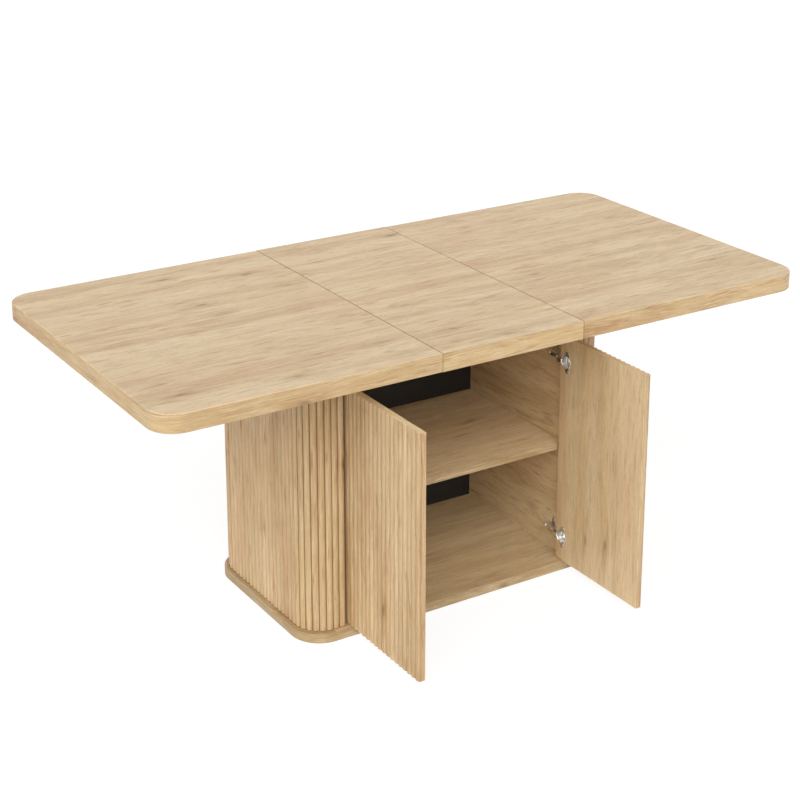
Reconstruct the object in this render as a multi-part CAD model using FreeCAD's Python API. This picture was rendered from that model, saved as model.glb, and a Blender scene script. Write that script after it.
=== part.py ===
# Extending dining table: a three-part oak-faced top on a reeded cabinet with two doors.
# X runs along the top, the doors face -Y, Z is up, and the origin lies on the floor under
# the middle of the cabinet. Sizes are in millimetres. The table is drawn with its centre
# leaf in and both doors open. Pieces of the right half are mirrored to make the left half.
import FreeCAD, Part
import math
import os

Vector = FreeCAD.Vector

# Table top
TABLE_LENGTH = 1800.0
TABLE_WIDTH = 900.0
TABLE_HEIGHT = 776.0
TOP_THICK = 45.0
LEAF_LENGTH = 400.0
TOP_CORNER = 67.0
TOP_ROUND = 4.0
UNDER_ROUND = 2.0
SEAM_GAP = 1.2
SEAM_ROUND = 0.4

# Plinth and top plate of the cabinet, which stand proud of it, and the pads under the plinth
PLATE_PROUD_END = 10.0
PLATE_PROUD_FRONT = 12.0
PLATE_ROUND = 2.0
PLINTH_THICK = 25.0
TOP_PLATE_THICK = 27.0
PAD_RADIUS = 15.0
PAD_THICK = 4.0
PAD_PROUD = 2.0
PAD_INSET = 60.0

# Cabinet carcass between the two plates, and the room for the slide frame above it
CABINET_LENGTH = 880.0
CABINET_DEPTH = 476.0
CABINET_CORNER = 70.0
FRAME_ROOM = 55.0
SHELL_THICK = 14.0
REED_PROUD = 4.0
REED_PITCH = 18.65
CORNER_REEDS = 6
RETURN_REEDS = 2
FRONT_RETURN = 104.5
SIDE_STEP = 2.5
SIDE_THICK = 18.0
BACK_THICK = 7.0
REAR_GAP = 0.5
BATTEN_LENGTH = 18.0
BATTEN_DEPTH = 30.0
END_BATTEN_LENGTH = 20.0
END_BATTEN_DEPTH = 44.0

# Shelf and its pins
SHELF_THICK = 18.0
SHELF_SETBACK = 24.0
SHELF_GAP = 0.5
SHELF_ROUND = 1.0
SHELF_PIN_RADIUS = 2.5
SHELF_PIN_DEEP = 8.0
SHELF_PIN_PROUD = 8.0
SHELF_PIN_INSET = 50.0

# Doors, with the hinge axis measured from the door's own edge and outer face
DOOR_CORE = 14.9
DOOR_REEDS = 18
DOOR_GAP = 2.4
DOOR_SIDE_GAP = 3.8
DOOR_MEET_GAP = 3.4
DOOR_ROUND = 1.0
PIVOT_FROM_EDGE = 9.9
PIVOT_FROM_FACE = 6.8
HINGE_INSET = 66.0

# Hinge cup, sunk in the door's inner face
CUP_RADIUS = 17.5
CUP_CENTRE = 22.5
CUP_DEEP = 13.5
CUP_WALL = 0.9
CUP_GAP = 0.1
RIM_RADIUS = 18.5
RIM_THICK = 0.8
WING_HALF_HEIGHT = 29.0
WING_START = 21.0
WING_WIDTH = 14.0
WING_THICK = 1.2
KNUCKLE_RADIUS = 4.2
KNUCKLE_HALF = 9.5
CHEEK_RADIUS = 3.6
POCKET_RADIUS = 3.4
POCKET_HALF = 5.5
HINGE_PIN_RADIUS = 1.5
HINGE_PIN_GAP = 0.1

# Hinge arm, a cranked bar from the pin to the mounting plate
ARM_HALF = 5.0
EYE_RADIUS = 3.0
LINK_THICK = 2.8
NECK_OFFSET = 14.8
NECK_THICK = 3.2
CROSS_OFFSET = 17.5
CROSS_THICK = 5.0
ARM_THICK = 10.0
ARM_SIDE_GAP = 7.0
ARM_REACH = 72.0

# Mounting plate on the side panel, with two winged lugs
LUG_HALF_HEIGHT = 26.0
LUG_WIDTH = 11.0
LUG_THICK = 2.0
LUG_FROM_FRONT = 38.0
RIB_HALF = 6.0
RIB_START = 26.0
RIB_LENGTH = 42.0

# Screws of the hinges
CUP_SCREW_SPREAD = 24.0
CUP_SCREW_OFFSET = 6.0
PLATE_SCREW_SPREAD = 16.0
SCREW_HEAD_RADIUS = 3.5
SCREW_HEAD_THICK = 1.6
SCREW_SHANK_RADIUS = 1.6
SCREW_DEEP = 9.0

# Slide frame between the cabinet and the top
RAIL_INSET = 10.0
RAIL_HEIGHT = 32.0
RAIL_WIDTH = 20.0
RAIL_WALL = 2.0
RAIL_SPREAD = 340.0
GLIDE_THICK = 3.0
CAP_THICK = 2.0
CAP_PLUG = 10.0
BEAM_CLEAR = 30.0
BEAM_WIDTH = 40.0
BEAM_SHORT = 2.0
RUN_GAP = 0.3
SIDE_RUN_GAP = 0.5

# Runners under each end of the top
RUNNER_THICK = 14.0
RUNNER_START = 15.0
RUNNER_STOP = 25.0
KEEPER_THICK = 3.0
KEEPER_LENGTH = 30.0
KEEPER_START = 5.0
KEEPER_REACH = 17.0
STIFFENER_LENGTH = 660.0
STIFFENER_WIDTH = 40.0
STIFFENER_THICK = 20.0
STIFFENER_FROM_END = 220.0

# Linkage that makes both ends slide alike
LINK_REACH = 130.0
BAR_THICK = 6.0
BAR_WIDTH = 30.0
ROD_THICK = 6.0
ROD_WIDTH = 26.0
LAYER_GAP = 0.5
PIVOT_PLATE_SIZE = 120.0
PIVOT_PLATE_THICK = 6.0
BOSS_RADIUS = 18.0
BOSS_HEIGHT = 17.5
CENTRE_PIN_RADIUS = 6.0
CENTRE_HEAD_RADIUS = 10.0
LINK_PIN_RADIUS = 4.0
LINK_HEAD_RADIUS = 7.0
LINK_HEAD_THICK = 2.5
PIN_FIT = 0.1
BRACKET_LENGTH = 40.0
BRACKET_WIDTH = 32.0

# Pegs of the centre leaf, and the larger screws
PEG_RADIUS = 5.0
PEG_IN_LEAF = 18.0
PEG_BELOW = 16.0
PEG_FROM_SEAM = 50.0
PEG_GAP = 0.4
WOOD_SCREW_RADIUS = 2.0
WOOD_SCREW_HEAD = 4.5
WOOD_HEAD_THICK = 2.0
WOOD_SCREW_DEEP = 14.0

# Where the screws sit along the piece that they hold
RUNNER_SCREW_SHARES = (0.12, 0.5, 0.88)
STIFFENER_SCREW_SHARES = (0.1, 0.5, 0.9)
BEAM_SCREW_SHARE = 0.55
PIVOT_SCREW_SHARE = 0.38

OVERRUN = 5.0
TOUCH = 0.001

# Heights and places that follow from the sizes above
plinth_top = PAD_PROUD + PLINTH_THICK
top_under = TABLE_HEIGHT - TOP_THICK
plate_top = top_under - FRAME_ROOM
carcass_top = plate_top - TOP_PLATE_THICK
shelf_top = (plinth_top + carcass_top + SHELF_THICK) / 2
plate_length = CABINET_LENGTH + 2 * PLATE_PROUD_END
plate_width = CABINET_DEPTH + 2 * PLATE_PROUD_FRONT
plate_corner = CABINET_CORNER + PLATE_PROUD_END
half_leaf = LEAF_LENGTH / 2
half_depth = CABINET_DEPTH / 2
half_opening = CABINET_LENGTH / 2 - FRONT_RETURN
half_inner = half_opening - SIDE_STEP
door_width = half_opening - DOOR_SIDE_GAP - DOOR_MEET_GAP / 2
valley_x = CABINET_LENGTH / 2 - REED_PROUD
valley_y = half_depth - REED_PROUD
valley_radius = CABINET_CORNER - REED_PROUD
shell_x = valley_x - SHELL_THICK
shell_y = valley_y - SHELL_THICK
back_face = shell_y - BACK_THICK
shelf_front = SHELF_SETBACK - half_depth

pivot_x = half_opening - DOOR_SIDE_GAP - PIVOT_FROM_EDGE
pivot_y = PIVOT_FROM_FACE - half_depth
door_thick = DOOR_CORE + REED_PROUD
door_face = pivot_x + PIVOT_FROM_FACE - door_thick
door_edge = pivot_y + PIVOT_FROM_EDGE
door_low = plinth_top + DOOR_GAP
door_high = carcass_top - DOOR_GAP
hinge_heights = (door_low + HINGE_INSET, door_high - HINGE_INSET)
cup_y = door_edge - CUP_CENTRE
lug_y = LUG_FROM_FRONT - shell_y

rail_half = CABINET_LENGTH / 2 - RAIL_INSET
rail_y = RAIL_SPREAD / 2
rail_out = rail_y + RAIL_WIDTH / 2
rail_high = top_under - RUN_GAP - GLIDE_THICK
rail_low = rail_high - RAIL_HEIGHT
runner_y = rail_out + SIDE_RUN_GAP
runner_x = half_leaf + RUNNER_START
keeper_x = runner_x + KEEPER_START
beam_x = keeper_x + KEEPER_LENGTH + BEAM_CLEAR + BEAM_WIDTH / 2
stiffener_x = TABLE_LENGTH / 2 - STIFFENER_FROM_END
runner_length = stiffener_x - STIFFENER_WIDTH / 2 - RUNNER_STOP - runner_x
keeper_high = rail_low - SIDE_RUN_GAP
keeper_low = keeper_high - KEEPER_THICK
peg_x = half_leaf - PEG_FROM_SEAM

boss_top = plate_top + PIVOT_PLATE_THICK + BOSS_HEIGHT
bar_low = boss_top + LAYER_GAP
bar_high = bar_low + BAR_THICK
rod_low = bar_high + LAYER_GAP
rod_high = rod_low + ROD_THICK
bracket_low = rod_high + LAYER_GAP

X_AXIS = Vector(1, 0, 0)
Z_AXIS = Vector(0, 0, 1)
ORIGIN = Vector(0, 0, 0)


def block(x_range, y_range, z_range):
    size = [high - low for low, high in (x_range, y_range, z_range)]
    return Part.makeBox(*size, Vector(x_range[0], y_range[0], z_range[0]))


def upright(x, y, z_range, radius):
    return Part.makeCylinder(radius, z_range[1] - z_range[0], Vector(x, y, z_range[0]), Z_AXIS)


def along_x(x_range, y, z, radius):
    return Part.makeCylinder(radius, x_range[1] - x_range[0], Vector(x_range[0], y, z), X_AXIS)


def line(start, end):
    return Part.LineSegment(Vector(*start), Vector(*end)).toShape()


def arc(start, middle, end):
    return Part.Arc(Vector(*start), Vector(*middle), Vector(*end)).toShape()


def extruded(edges, z_range):
    face = Part.Face(Part.Wire(edges))
    face.translate(Vector(0, 0, z_range[0]))
    return face.extrude(Vector(0, 0, z_range[1] - z_range[0]))


def polygon(points, z_range):
    closed = list(points) + [points[0]]
    return extruded([line(a, b) for a, b in zip(closed, closed[1:])], z_range)


def mirrored(shape):
    return shape.mirror(ORIGIN, X_AXIS)


def group(shapes):
    solids = [solid for shape in shapes for solid in shape.Solids]
    return solids[0] if len(solids) == 1 else Part.makeCompound(solids)


def less(shape, cutters):
    return shape.cut(Part.makeCompound(cutters))


def level_edges(shape, z, keep=lambda edge: True):
    """Edges that lie flat at one height and that the test keeps."""
    found = []
    for edge in shape.Edges:
        box = edge.BoundBox
        flat = abs(box.ZMin - z) < TOUCH and abs(box.ZMax - z) < TOUCH
        if flat and keep(edge):
            found.append(edge)
    return found


def quarter(centre, radius, start_angle, end_angle):
    """An arc of a corner, between two angles in degrees."""
    points = []
    for angle in (start_angle, (start_angle + end_angle) / 2, end_angle):
        turn = math.radians(angle)
        points.append((centre[0] + radius * math.cos(turn), centre[1] + radius * math.sin(turn)))
    return arc(*points)


def rounded_plate(length, width, corner, z_range):
    """A flat plate with four round corners."""
    x = length / 2 - corner
    y = width / 2 - corner
    edges = []
    for turn, (sx, sy) in zip((0, 90, 180, 270), ((1, 1), (-1, 1), (-1, -1), (1, -1))):
        edges.append(quarter((sx * x, sy * y), corner, turn, turn + 90))
    lines = []
    for first, second in zip(edges, edges[1:] + edges[:1]):
        lines.append(Part.LineSegment(first.Vertexes[-1].Point, second.Vertexes[0].Point).toShape())
    outline = [edge for pair in zip(edges, lines) for edge in pair]
    return extruded(outline, z_range)


def soften(shape, radius, z, keep=lambda edge: True):
    return shape.makeFillet(radius, level_edges(shape, z, keep))


def reed_row(points, outwards):
    """One arc for each reed between neighbouring points, standing proud along its outward way."""
    edges = []
    for start, end, out in zip(points, points[1:], outwards):
        middle = [(a + b) / 2 for a, b in zip(start, end)]
        crown = [m + REED_PROUD * o for m, o in zip(middle, out)]
        edges.append(arc(start, crown, end))
    return edges


def spread(start, end, count):
    """Evenly spaced points from one point to another, both ends included."""
    steps = [step / count for step in range(count + 1)]
    return [tuple(a + (b - a) * step for a, b in zip(start, end)) for step in steps]


def corner_row(centre, start_angle):
    """Reeds round one quarter turn, with each crown on the cabinet's outer corner."""
    edges = []
    step = 90 / CORNER_REEDS
    for reed in range(CORNER_REEDS):
        angles = [start_angle + step * (reed + part) for part in (0, 0.5, 1)]
        radii = (valley_radius, CABINET_CORNER, valley_radius)
        points = []
        for angle, radius in zip(angles, radii):
            turn = math.radians(angle)
            points.append((centre[0] + radius * math.cos(turn), centre[1] + radius * math.sin(turn)))
        edges.append(arc(*points))
    return edges


# Cabinet

def plinth():
    plate = rounded_plate(plate_length, plate_width, plate_corner, (PAD_PROUD, plinth_top))
    plate = soften(plate, PLATE_ROUND, plinth_top)
    return less(plate, [upright(x, y, (0, PAD_THICK), PAD_RADIUS) for x, y in pad_places()])


def pad_places():
    x = plate_length / 2 - plate_corner
    y = plate_width / 2 - PAD_INSET
    return [(0, 0)] + [(sx * x, sy * y) for sx in (-1, 0, 1) for sy in (-1, 1)]


def floor_pads():
    return group([upright(x, y, (0, PAD_THICK), PAD_RADIUS) for x, y in pad_places()])


def top_plate():
    plate = rounded_plate(plate_length, plate_width, plate_corner, (carcass_top, plate_top))
    plate = soften(plate, PLATE_ROUND, carcass_top)
    plate = soften(plate, PLATE_ROUND, plate_top)
    holes = []
    for x, y in frame_screw_places():
        holes.append(upright(x, y, (plate_top - WOOD_SCREW_DEEP, plate_top + OVERRUN), WOOD_SCREW_RADIUS))
    return less(plate, holes)


def reeded_end():
    """Right end of the cabinet: a bent shell that also turns round both corners."""
    corner_x = CABINET_LENGTH / 2 - CABINET_CORNER
    corner_y = half_depth - CABINET_CORNER
    front = spread((half_opening, -valley_y), (corner_x, -valley_y), RETURN_REEDS)
    side_count = round(2 * corner_y / REED_PITCH)
    side = spread((valley_x, -corner_y), (valley_x, corner_y), side_count)
    rear = spread((corner_x, valley_y), (half_opening, valley_y), RETURN_REEDS)
    edges = reed_row(front, [(0, -1)] * RETURN_REEDS)
    edges += corner_row((corner_x, -corner_y), -90)
    edges += reed_row(side, [(1, 0)] * side_count)
    edges += corner_row((corner_x, corner_y), 0)
    edges += reed_row(rear, [(0, 1)] * RETURN_REEDS)
    inner = valley_radius - SHELL_THICK
    edges.append(line((half_opening, valley_y), (half_opening, shell_y)))
    edges.append(line((half_opening, shell_y), (corner_x, shell_y)))
    edges.append(quarter((corner_x, corner_y), inner, 90, 0))
    edges.append(line((shell_x, corner_y), (shell_x, -corner_y)))
    edges.append(quarter((corner_x, -corner_y), inner, 0, -90))
    edges.append(line((corner_x, -shell_y), (half_opening, -shell_y)))
    edges.append(line((half_opening, -shell_y), (half_opening, -valley_y)))
    return extruded(edges, (plinth_top, carcass_top))


def reeded_rear():
    """Panel that closes the back of the cabinet between the two ends."""
    half = half_opening - REAR_GAP
    count = round(2 * half / REED_PITCH)
    row = spread((half, valley_y), (-half, valley_y), count)
    edges = reed_row(row, [(0, 1)] * count)
    edges.append(line((-half, valley_y), (-half, shell_y)))
    edges.append(line((-half, shell_y), (half, shell_y)))
    edges.append(line((half, shell_y), (half, valley_y)))
    return extruded(edges, (plinth_top, carcass_top))


def side_panel():
    panel = block((half_inner, half_inner + SIDE_THICK), (-shell_y, shell_y), (plinth_top, carcass_top))
    holes = []
    for y, z in shelf_pin_places():
        holes.append(along_x((half_inner - OVERRUN, half_inner + SHELF_PIN_DEEP), y, z, SHELF_PIN_RADIUS))
    for y, z in plate_screw_places():
        holes.append(along_x((half_inner - OVERRUN, half_inner + SCREW_DEEP), y, z, SCREW_SHANK_RADIUS))
    return less(panel, holes)


def back_panel():
    return block((-half_inner, half_inner), (back_face, shell_y), (plinth_top, carcass_top))


def shelf():
    half = half_inner - SHELF_GAP
    board = block((-half, half), (shelf_front, back_face - SHELF_GAP), (shelf_top - SHELF_THICK, shelf_top))

    def at_front(edge):
        box = edge.BoundBox
        return abs(box.YMin - shelf_front) < TOUCH and abs(box.YMax - shelf_front) < TOUCH

    board = soften(board, SHELF_ROUND, shelf_top, at_front)
    return soften(board, SHELF_ROUND, shelf_top - SHELF_THICK, at_front)


def shelf_pin_places():
    z = shelf_top - SHELF_THICK - SHELF_PIN_RADIUS
    return [(shelf_front + SHELF_PIN_INSET, z), (back_face - SHELF_PIN_INSET, z)]


def shelf_pins():
    x_range = (half_inner - SHELF_PIN_PROUD, half_inner + SHELF_PIN_DEEP)
    pins = [along_x(x_range, y, z, SHELF_PIN_RADIUS) for y, z in shelf_pin_places()]
    return group(pins + [mirrored(pin) for pin in pins])


def end_battens():
    """Upright battens that hold the right end shell off the side panel."""
    x = half_inner + SIDE_THICK
    half = END_BATTEN_DEPTH / 2
    z_range = (plinth_top, carcass_top)
    battens = [
        block((x, x + BATTEN_LENGTH), (-shell_y, BATTEN_DEPTH - shell_y), z_range),
        block((x, x + BATTEN_LENGTH), (shell_y - BATTEN_DEPTH, shell_y), z_range),
        block((shell_x - END_BATTEN_LENGTH, shell_x), (-half, half), z_range),
    ]
    return group(battens)


# Doors and hinges, drawn for the right door as it stands open

def door():
    outer = door_face + DOOR_CORE
    far = door_edge - door_width
    row = spread((outer, far), (outer, door_edge), DOOR_REEDS)
    edges = reed_row(row, [(1, 0)] * DOOR_REEDS)
    edges.append(line((outer, door_edge), (door_face, door_edge)))
    edges.append(line((door_face, door_edge), (door_face, far)))
    edges.append(line((door_face, far), (outer, far)))
    panel = extruded(edges, (door_low, door_high))

    def on_inner_face(edge):
        return abs(edge.BoundBox.XMin - door_face) < TOUCH and abs(edge.BoundBox.XMax - door_face) < TOUCH

    panel = panel.makeFillet(DOOR_ROUND, [edge for edge in panel.Edges if on_inner_face(edge)])
    cuts = []
    for z in hinge_heights:
        cuts.append(along_x((door_face - OVERRUN, door_face + CUP_DEEP), cup_y, z, CUP_RADIUS + CUP_GAP))
        knuckle = KNUCKLE_HALF + CUP_GAP
        cuts.append(upright(pivot_x, pivot_y, (z - knuckle, z + knuckle), KNUCKLE_RADIUS + CUP_GAP))
    for y, z in cup_screw_places():
        cuts.append(along_x((door_face - OVERRUN, door_face + SCREW_DEEP), y, z, SCREW_SHANK_RADIUS))
    return less(panel, cuts)


def hinge_cup(z):
    """Pressed cup with a rim, two wings and a deeper seat for the pin."""
    cup = along_x((door_face, door_face + CUP_DEEP), cup_y, z, CUP_RADIUS)
    knuckle = upright(pivot_x, pivot_y, (z - KNUCKLE_HALF, z + KNUCKLE_HALF), KNUCKLE_RADIUS)
    rim = along_x((door_face - RIM_THICK, door_face), cup_y, z, RIM_RADIUS)
    wing_y = door_edge - WING_START
    wings = block((door_face - WING_THICK, door_face), (wing_y - WING_WIDTH, wing_y),
                  (z - WING_HALF_HEIGHT, z + WING_HALF_HEIGHT))
    body = cup.fuse([knuckle, rim, wings])
    hollow = along_x((door_face - OVERRUN, door_face + CUP_DEEP - CUP_WALL), cup_y, z, CUP_RADIUS - CUP_WALL)
    pocket = upright(pivot_x, pivot_y, (z - POCKET_HALF, z + POCKET_HALF), POCKET_RADIUS)
    cheeks = []
    for low, high in ((z - KNUCKLE_HALF, z - POCKET_HALF), (z + POCKET_HALF, z + KNUCKLE_HALF)):
        cheeks.append(upright(pivot_x, pivot_y, (low, high), CHEEK_RADIUS))
    body = less(body, [hollow, pocket]).fuse(cheeks)
    bore_range = (z - KNUCKLE_HALF - OVERRUN, z + KNUCKLE_HALF + OVERRUN)
    bore = upright(pivot_x, pivot_y, bore_range, HINGE_PIN_RADIUS)
    screws = [along_x((door_face - OVERRUN, door_face), y, height, SCREW_SHANK_RADIUS)
              for y, height in cup_screw_places()]
    return less(body, [bore] + screws).removeSplitter()


def hinge_cups():
    return group([hinge_cup(z) for z in hinge_heights])


def hinge_pins():
    pins = [upright(pivot_x, pivot_y, (z - KNUCKLE_HALF, z + KNUCKLE_HALF), HINGE_PIN_RADIUS)
            for z in hinge_heights]
    return group(pins)


def cup_screw_places():
    y = cup_y - CUP_SCREW_OFFSET
    return [(y, z + side * CUP_SCREW_SPREAD) for z in hinge_heights for side in (-1, 1)]


def cup_screws():
    screws = []
    for y, z in cup_screw_places():
        seat = door_face - WING_THICK
        head = along_x((seat - SCREW_HEAD_THICK, seat), y, z, SCREW_HEAD_RADIUS)
        shank = along_x((seat, door_face + SCREW_DEEP), y, z, SCREW_SHANK_RADIUS)
        screws.append(head.fuse(shank))
    return group(screws)


def hinge_arm(z):
    """Cranked arm: an eye on the pin, a neck out of the cup, and a bar along the side panel."""
    bar_out = half_inner - ARM_SIDE_GAP
    bar_in = bar_out - ARM_THICK
    neck_in = pivot_x - NECK_OFFSET - NECK_THICK
    neck_out = pivot_x - NECK_OFFSET
    cross = pivot_y + CROSS_OFFSET
    tip = pivot_y + ARM_REACH
    outline = [
        (pivot_x, pivot_y), (neck_in, pivot_y), (neck_in, cross + CROSS_THICK),
        (bar_in, cross + CROSS_THICK), (bar_in, tip), (bar_out, tip), (bar_out, cross),
        (neck_out, cross), (neck_out, pivot_y + LINK_THICK), (pivot_x, pivot_y + LINK_THICK),
    ]
    z_range = (z - ARM_HALF, z + ARM_HALF)
    arm = polygon(outline, z_range).fuse(upright(pivot_x, pivot_y, z_range, EYE_RADIUS))
    bore = upright(pivot_x, pivot_y, (z - ARM_HALF - OVERRUN, z + ARM_HALF + OVERRUN),
                   HINGE_PIN_RADIUS + HINGE_PIN_GAP)
    return arm.cut(bore).removeSplitter()


def hinge_arms():
    return group([hinge_arm(z) for z in hinge_heights])


def hinge_plate(z):
    rib_y = pivot_y + RIB_START
    rib = block((half_inner - ARM_SIDE_GAP, half_inner), (rib_y, rib_y + RIB_LENGTH),
                (z - RIB_HALF, z + RIB_HALF))
    lugs = block((half_inner - LUG_THICK, half_inner), (lug_y - LUG_WIDTH / 2, lug_y + LUG_WIDTH / 2),
                 (z - LUG_HALF_HEIGHT, z + LUG_HALF_HEIGHT))
    bores = []
    for side in (-1, 1):
        bores.append(along_x((half_inner - LUG_THICK - OVERRUN, half_inner), lug_y,
                             z + side * PLATE_SCREW_SPREAD, SCREW_SHANK_RADIUS))
    return less(rib.fuse(lugs), bores)


def hinge_plates():
    return group([hinge_plate(z) for z in hinge_heights])


def plate_screw_places():
    return [(lug_y, z + side * PLATE_SCREW_SPREAD) for z in hinge_heights for side in (-1, 1)]


def plate_screws():
    screws = []
    seat = half_inner - LUG_THICK
    for y, z in plate_screw_places():
        head = along_x((seat - SCREW_HEAD_THICK, seat), y, z, SCREW_HEAD_RADIUS)
        shank = along_x((seat, half_inner + SCREW_DEEP), y, z, SCREW_SHANK_RADIUS)
        screws.append(head.fuse(shank))
    return group(screws + [mirrored(screw) for screw in screws])


# Slide frame on the cabinet

def frame_screw_places():
    y = rail_y * BEAM_SCREW_SHARE
    beams = [(sx * beam_x, sy * y) for sx in (-1, 1) for sy in (-1, 1)]
    reach = PIVOT_PLATE_SIZE * PIVOT_SCREW_SHARE
    plate = [(sx * reach, sy * reach) for sx in (-1, 1) for sy in (-1, 1)]
    return beams + plate


def frame_screws():
    screws = []
    for x, y in frame_screw_places():
        seat = rail_low if abs(x) > PIVOT_PLATE_SIZE else plate_top + PIVOT_PLATE_THICK
        head = upright(x, y, (seat - WOOD_HEAD_THICK, seat), WOOD_SCREW_HEAD)
        shank = upright(x, y, (plate_top - WOOD_SCREW_DEEP, seat - WOOD_HEAD_THICK), WOOD_SCREW_RADIUS)
        screws.append(head.fuse(shank))
    return group(screws)


def cross_beams():
    reach = rail_out - BEAM_SHORT
    x_range = (beam_x - BEAM_WIDTH / 2, beam_x + BEAM_WIDTH / 2)
    beam = block(x_range, (-reach, reach), (plate_top, rail_low))
    return less(group([beam, mirrored(beam)]), frame_screw_bores(rail_low))


def frame_screw_bores(seat):
    bores = []
    for x, y in frame_screw_places():
        bores.append(upright(x, y, (plate_top - OVERRUN, seat + OVERRUN), WOOD_SCREW_RADIUS))
        bores.append(upright(x, y, (seat - WOOD_HEAD_THICK, seat + OVERRUN), WOOD_SCREW_HEAD))
    return bores


def peg_places():
    return [(sx * peg_x, sy * rail_y) for sx in (-1, 1) for sy in (-1, 1)]


def peg_bores():
    return [upright(x, y, (rail_high - PEG_BELOW, top_under), PEG_RADIUS + PEG_GAP) for x, y in peg_places()]


def rail(side):
    """Hollow rail along the cabinet, side -1 at the front and 1 at the rear."""
    half = rail_half
    near = side * rail_y - RAIL_WIDTH / 2
    far = side * rail_y + RAIL_WIDTH / 2
    tube = block((-half, half), (near, far), (rail_low, rail_high))
    hollow = block((-half - OVERRUN, half + OVERRUN), (near + RAIL_WALL, far - RAIL_WALL),
                   (rail_low + RAIL_WALL, rail_high - RAIL_WALL))
    return less(tube, [hollow] + peg_bores())


def rail_glide(side):
    half = rail_half
    strip = block((-half, half), (side * rail_y - RAIL_WIDTH / 2, side * rail_y + RAIL_WIDTH / 2),
                  (rail_high, rail_high + GLIDE_THICK))
    return less(strip, peg_bores())


def rail_end_caps():
    half = rail_half
    caps = []
    for side in (-1, 1):
        near = side * rail_y - RAIL_WIDTH / 2
        far = side * rail_y + RAIL_WIDTH / 2
        lid = block((half, half + CAP_THICK), (near, far), (rail_low, rail_high))
        plug = block((half - CAP_PLUG, half), (near + RAIL_WALL, far - RAIL_WALL),
                     (rail_low + RAIL_WALL, rail_high - RAIL_WALL))
        caps.append(lid.fuse(plug).removeSplitter())
    return group(caps + [mirrored(cap) for cap in caps])


# Linkage between the two ends

def pivot_plate():
    half = PIVOT_PLATE_SIZE / 2
    plate = block((-half, half), (-half, half), (plate_top, plate_top + PIVOT_PLATE_THICK))
    boss = upright(0, 0, (plate_top, boss_top), BOSS_RADIUS)
    bore = upright(0, 0, (plate_top - OVERRUN, boss_top + OVERRUN), CENTRE_PIN_RADIUS)
    return less(plate.fuse(boss), [bore] + frame_screw_bores(plate_top + PIVOT_PLATE_THICK))


def centre_pin():
    shank = upright(0, 0, (plate_top, bar_high + RUN_GAP), CENTRE_PIN_RADIUS)
    head = upright(0, 0, (bar_high + RUN_GAP, bar_high + RUN_GAP + LINK_HEAD_THICK), CENTRE_HEAD_RADIUS)
    return shank.fuse(head)


def flat_link(x_range, width, z_range):
    """Flat bar with round ends centred on the two ends of its range."""
    half = width / 2
    start, end = x_range
    edges = [
        line((start, -half), (end, -half)), arc((end, -half), (end + half, 0), (end, half)),
        line((end, half), (start, half)), arc((start, half), (start - half, 0), (start, -half)),
    ]
    return extruded(edges, z_range)


def sync_bar():
    bar = flat_link((-LINK_REACH, LINK_REACH), BAR_WIDTH, (bar_low, bar_high))
    z_range = (bar_low - OVERRUN, bar_high + OVERRUN)
    bores = [upright(0, 0, z_range, CENTRE_PIN_RADIUS + PIN_FIT)]
    bores += [upright(side * LINK_REACH, 0, z_range, LINK_PIN_RADIUS) for side in (-1, 1)]
    return less(bar, bores)


def bar_pins():
    pins = []
    for side in (-1, 1):
        seat = rod_high + RUN_GAP
        shank = upright(side * LINK_REACH, 0, (bar_low, seat), LINK_PIN_RADIUS)
        head = upright(side * LINK_REACH, 0, (seat, seat + LINK_HEAD_THICK), LINK_HEAD_RADIUS)
        pins.append(shank.fuse(head))
    return group(pins)


def link_rod():
    rod = flat_link((LINK_REACH, 2 * LINK_REACH), ROD_WIDTH, (rod_low, rod_high))
    z_range = (rod_low - OVERRUN, rod_high + OVERRUN)
    bores = [upright(x, 0, z_range, LINK_PIN_RADIUS + PIN_FIT) for x in (LINK_REACH, 2 * LINK_REACH)]
    return less(rod, bores)


def link_bracket():
    x = 2 * LINK_REACH
    body = block((x - BRACKET_LENGTH / 2, x + BRACKET_LENGTH / 2), (-BRACKET_WIDTH / 2, BRACKET_WIDTH / 2),
                 (bracket_low, top_under))
    return body.cut(upright(x, 0, (bracket_low - OVERRUN, top_under), LINK_PIN_RADIUS))


def bracket_pin():
    x = 2 * LINK_REACH
    seat = rod_low - RUN_GAP
    shank = upright(x, 0, (seat, top_under), LINK_PIN_RADIUS)
    head = upright(x, 0, (seat - LINK_HEAD_THICK, seat), LINK_HEAD_RADIUS)
    return shank.fuse(head)


# Table top

def end_top():
    """Right end of the top, with two round corners and a square edge at the seam."""
    inner = half_leaf + SEAM_GAP / 2
    outer = TABLE_LENGTH / 2
    half = TABLE_WIDTH / 2
    x = outer - TOP_CORNER
    y = half - TOP_CORNER
    edges = [
        line((inner, -half), (x, -half)), quarter((x, -y), TOP_CORNER, -90, 0),
        line((outer, -y), (outer, y)), quarter((x, y), TOP_CORNER, 0, 90),
        line((x, half), (inner, half)), line((inner, half), (inner, -half)),
    ]
    board = extruded(edges, (top_under, TABLE_HEIGHT))

    def outside(edge):
        return edge.BoundBox.XMax > inner + TOUCH

    board = soften(board, TOP_ROUND, TABLE_HEIGHT, outside)
    board = soften(board, UNDER_ROUND, top_under, outside)
    board = soften(board, SEAM_ROUND, TABLE_HEIGHT, lambda edge: edge.BoundBox.XMax < inner + TOUCH)
    bores = [upright(x, y, (top_under - OVERRUN, top_under + WOOD_SCREW_DEEP), WOOD_SCREW_RADIUS)
             for x, y in top_screw_places()]
    return less(board, bores)


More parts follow.
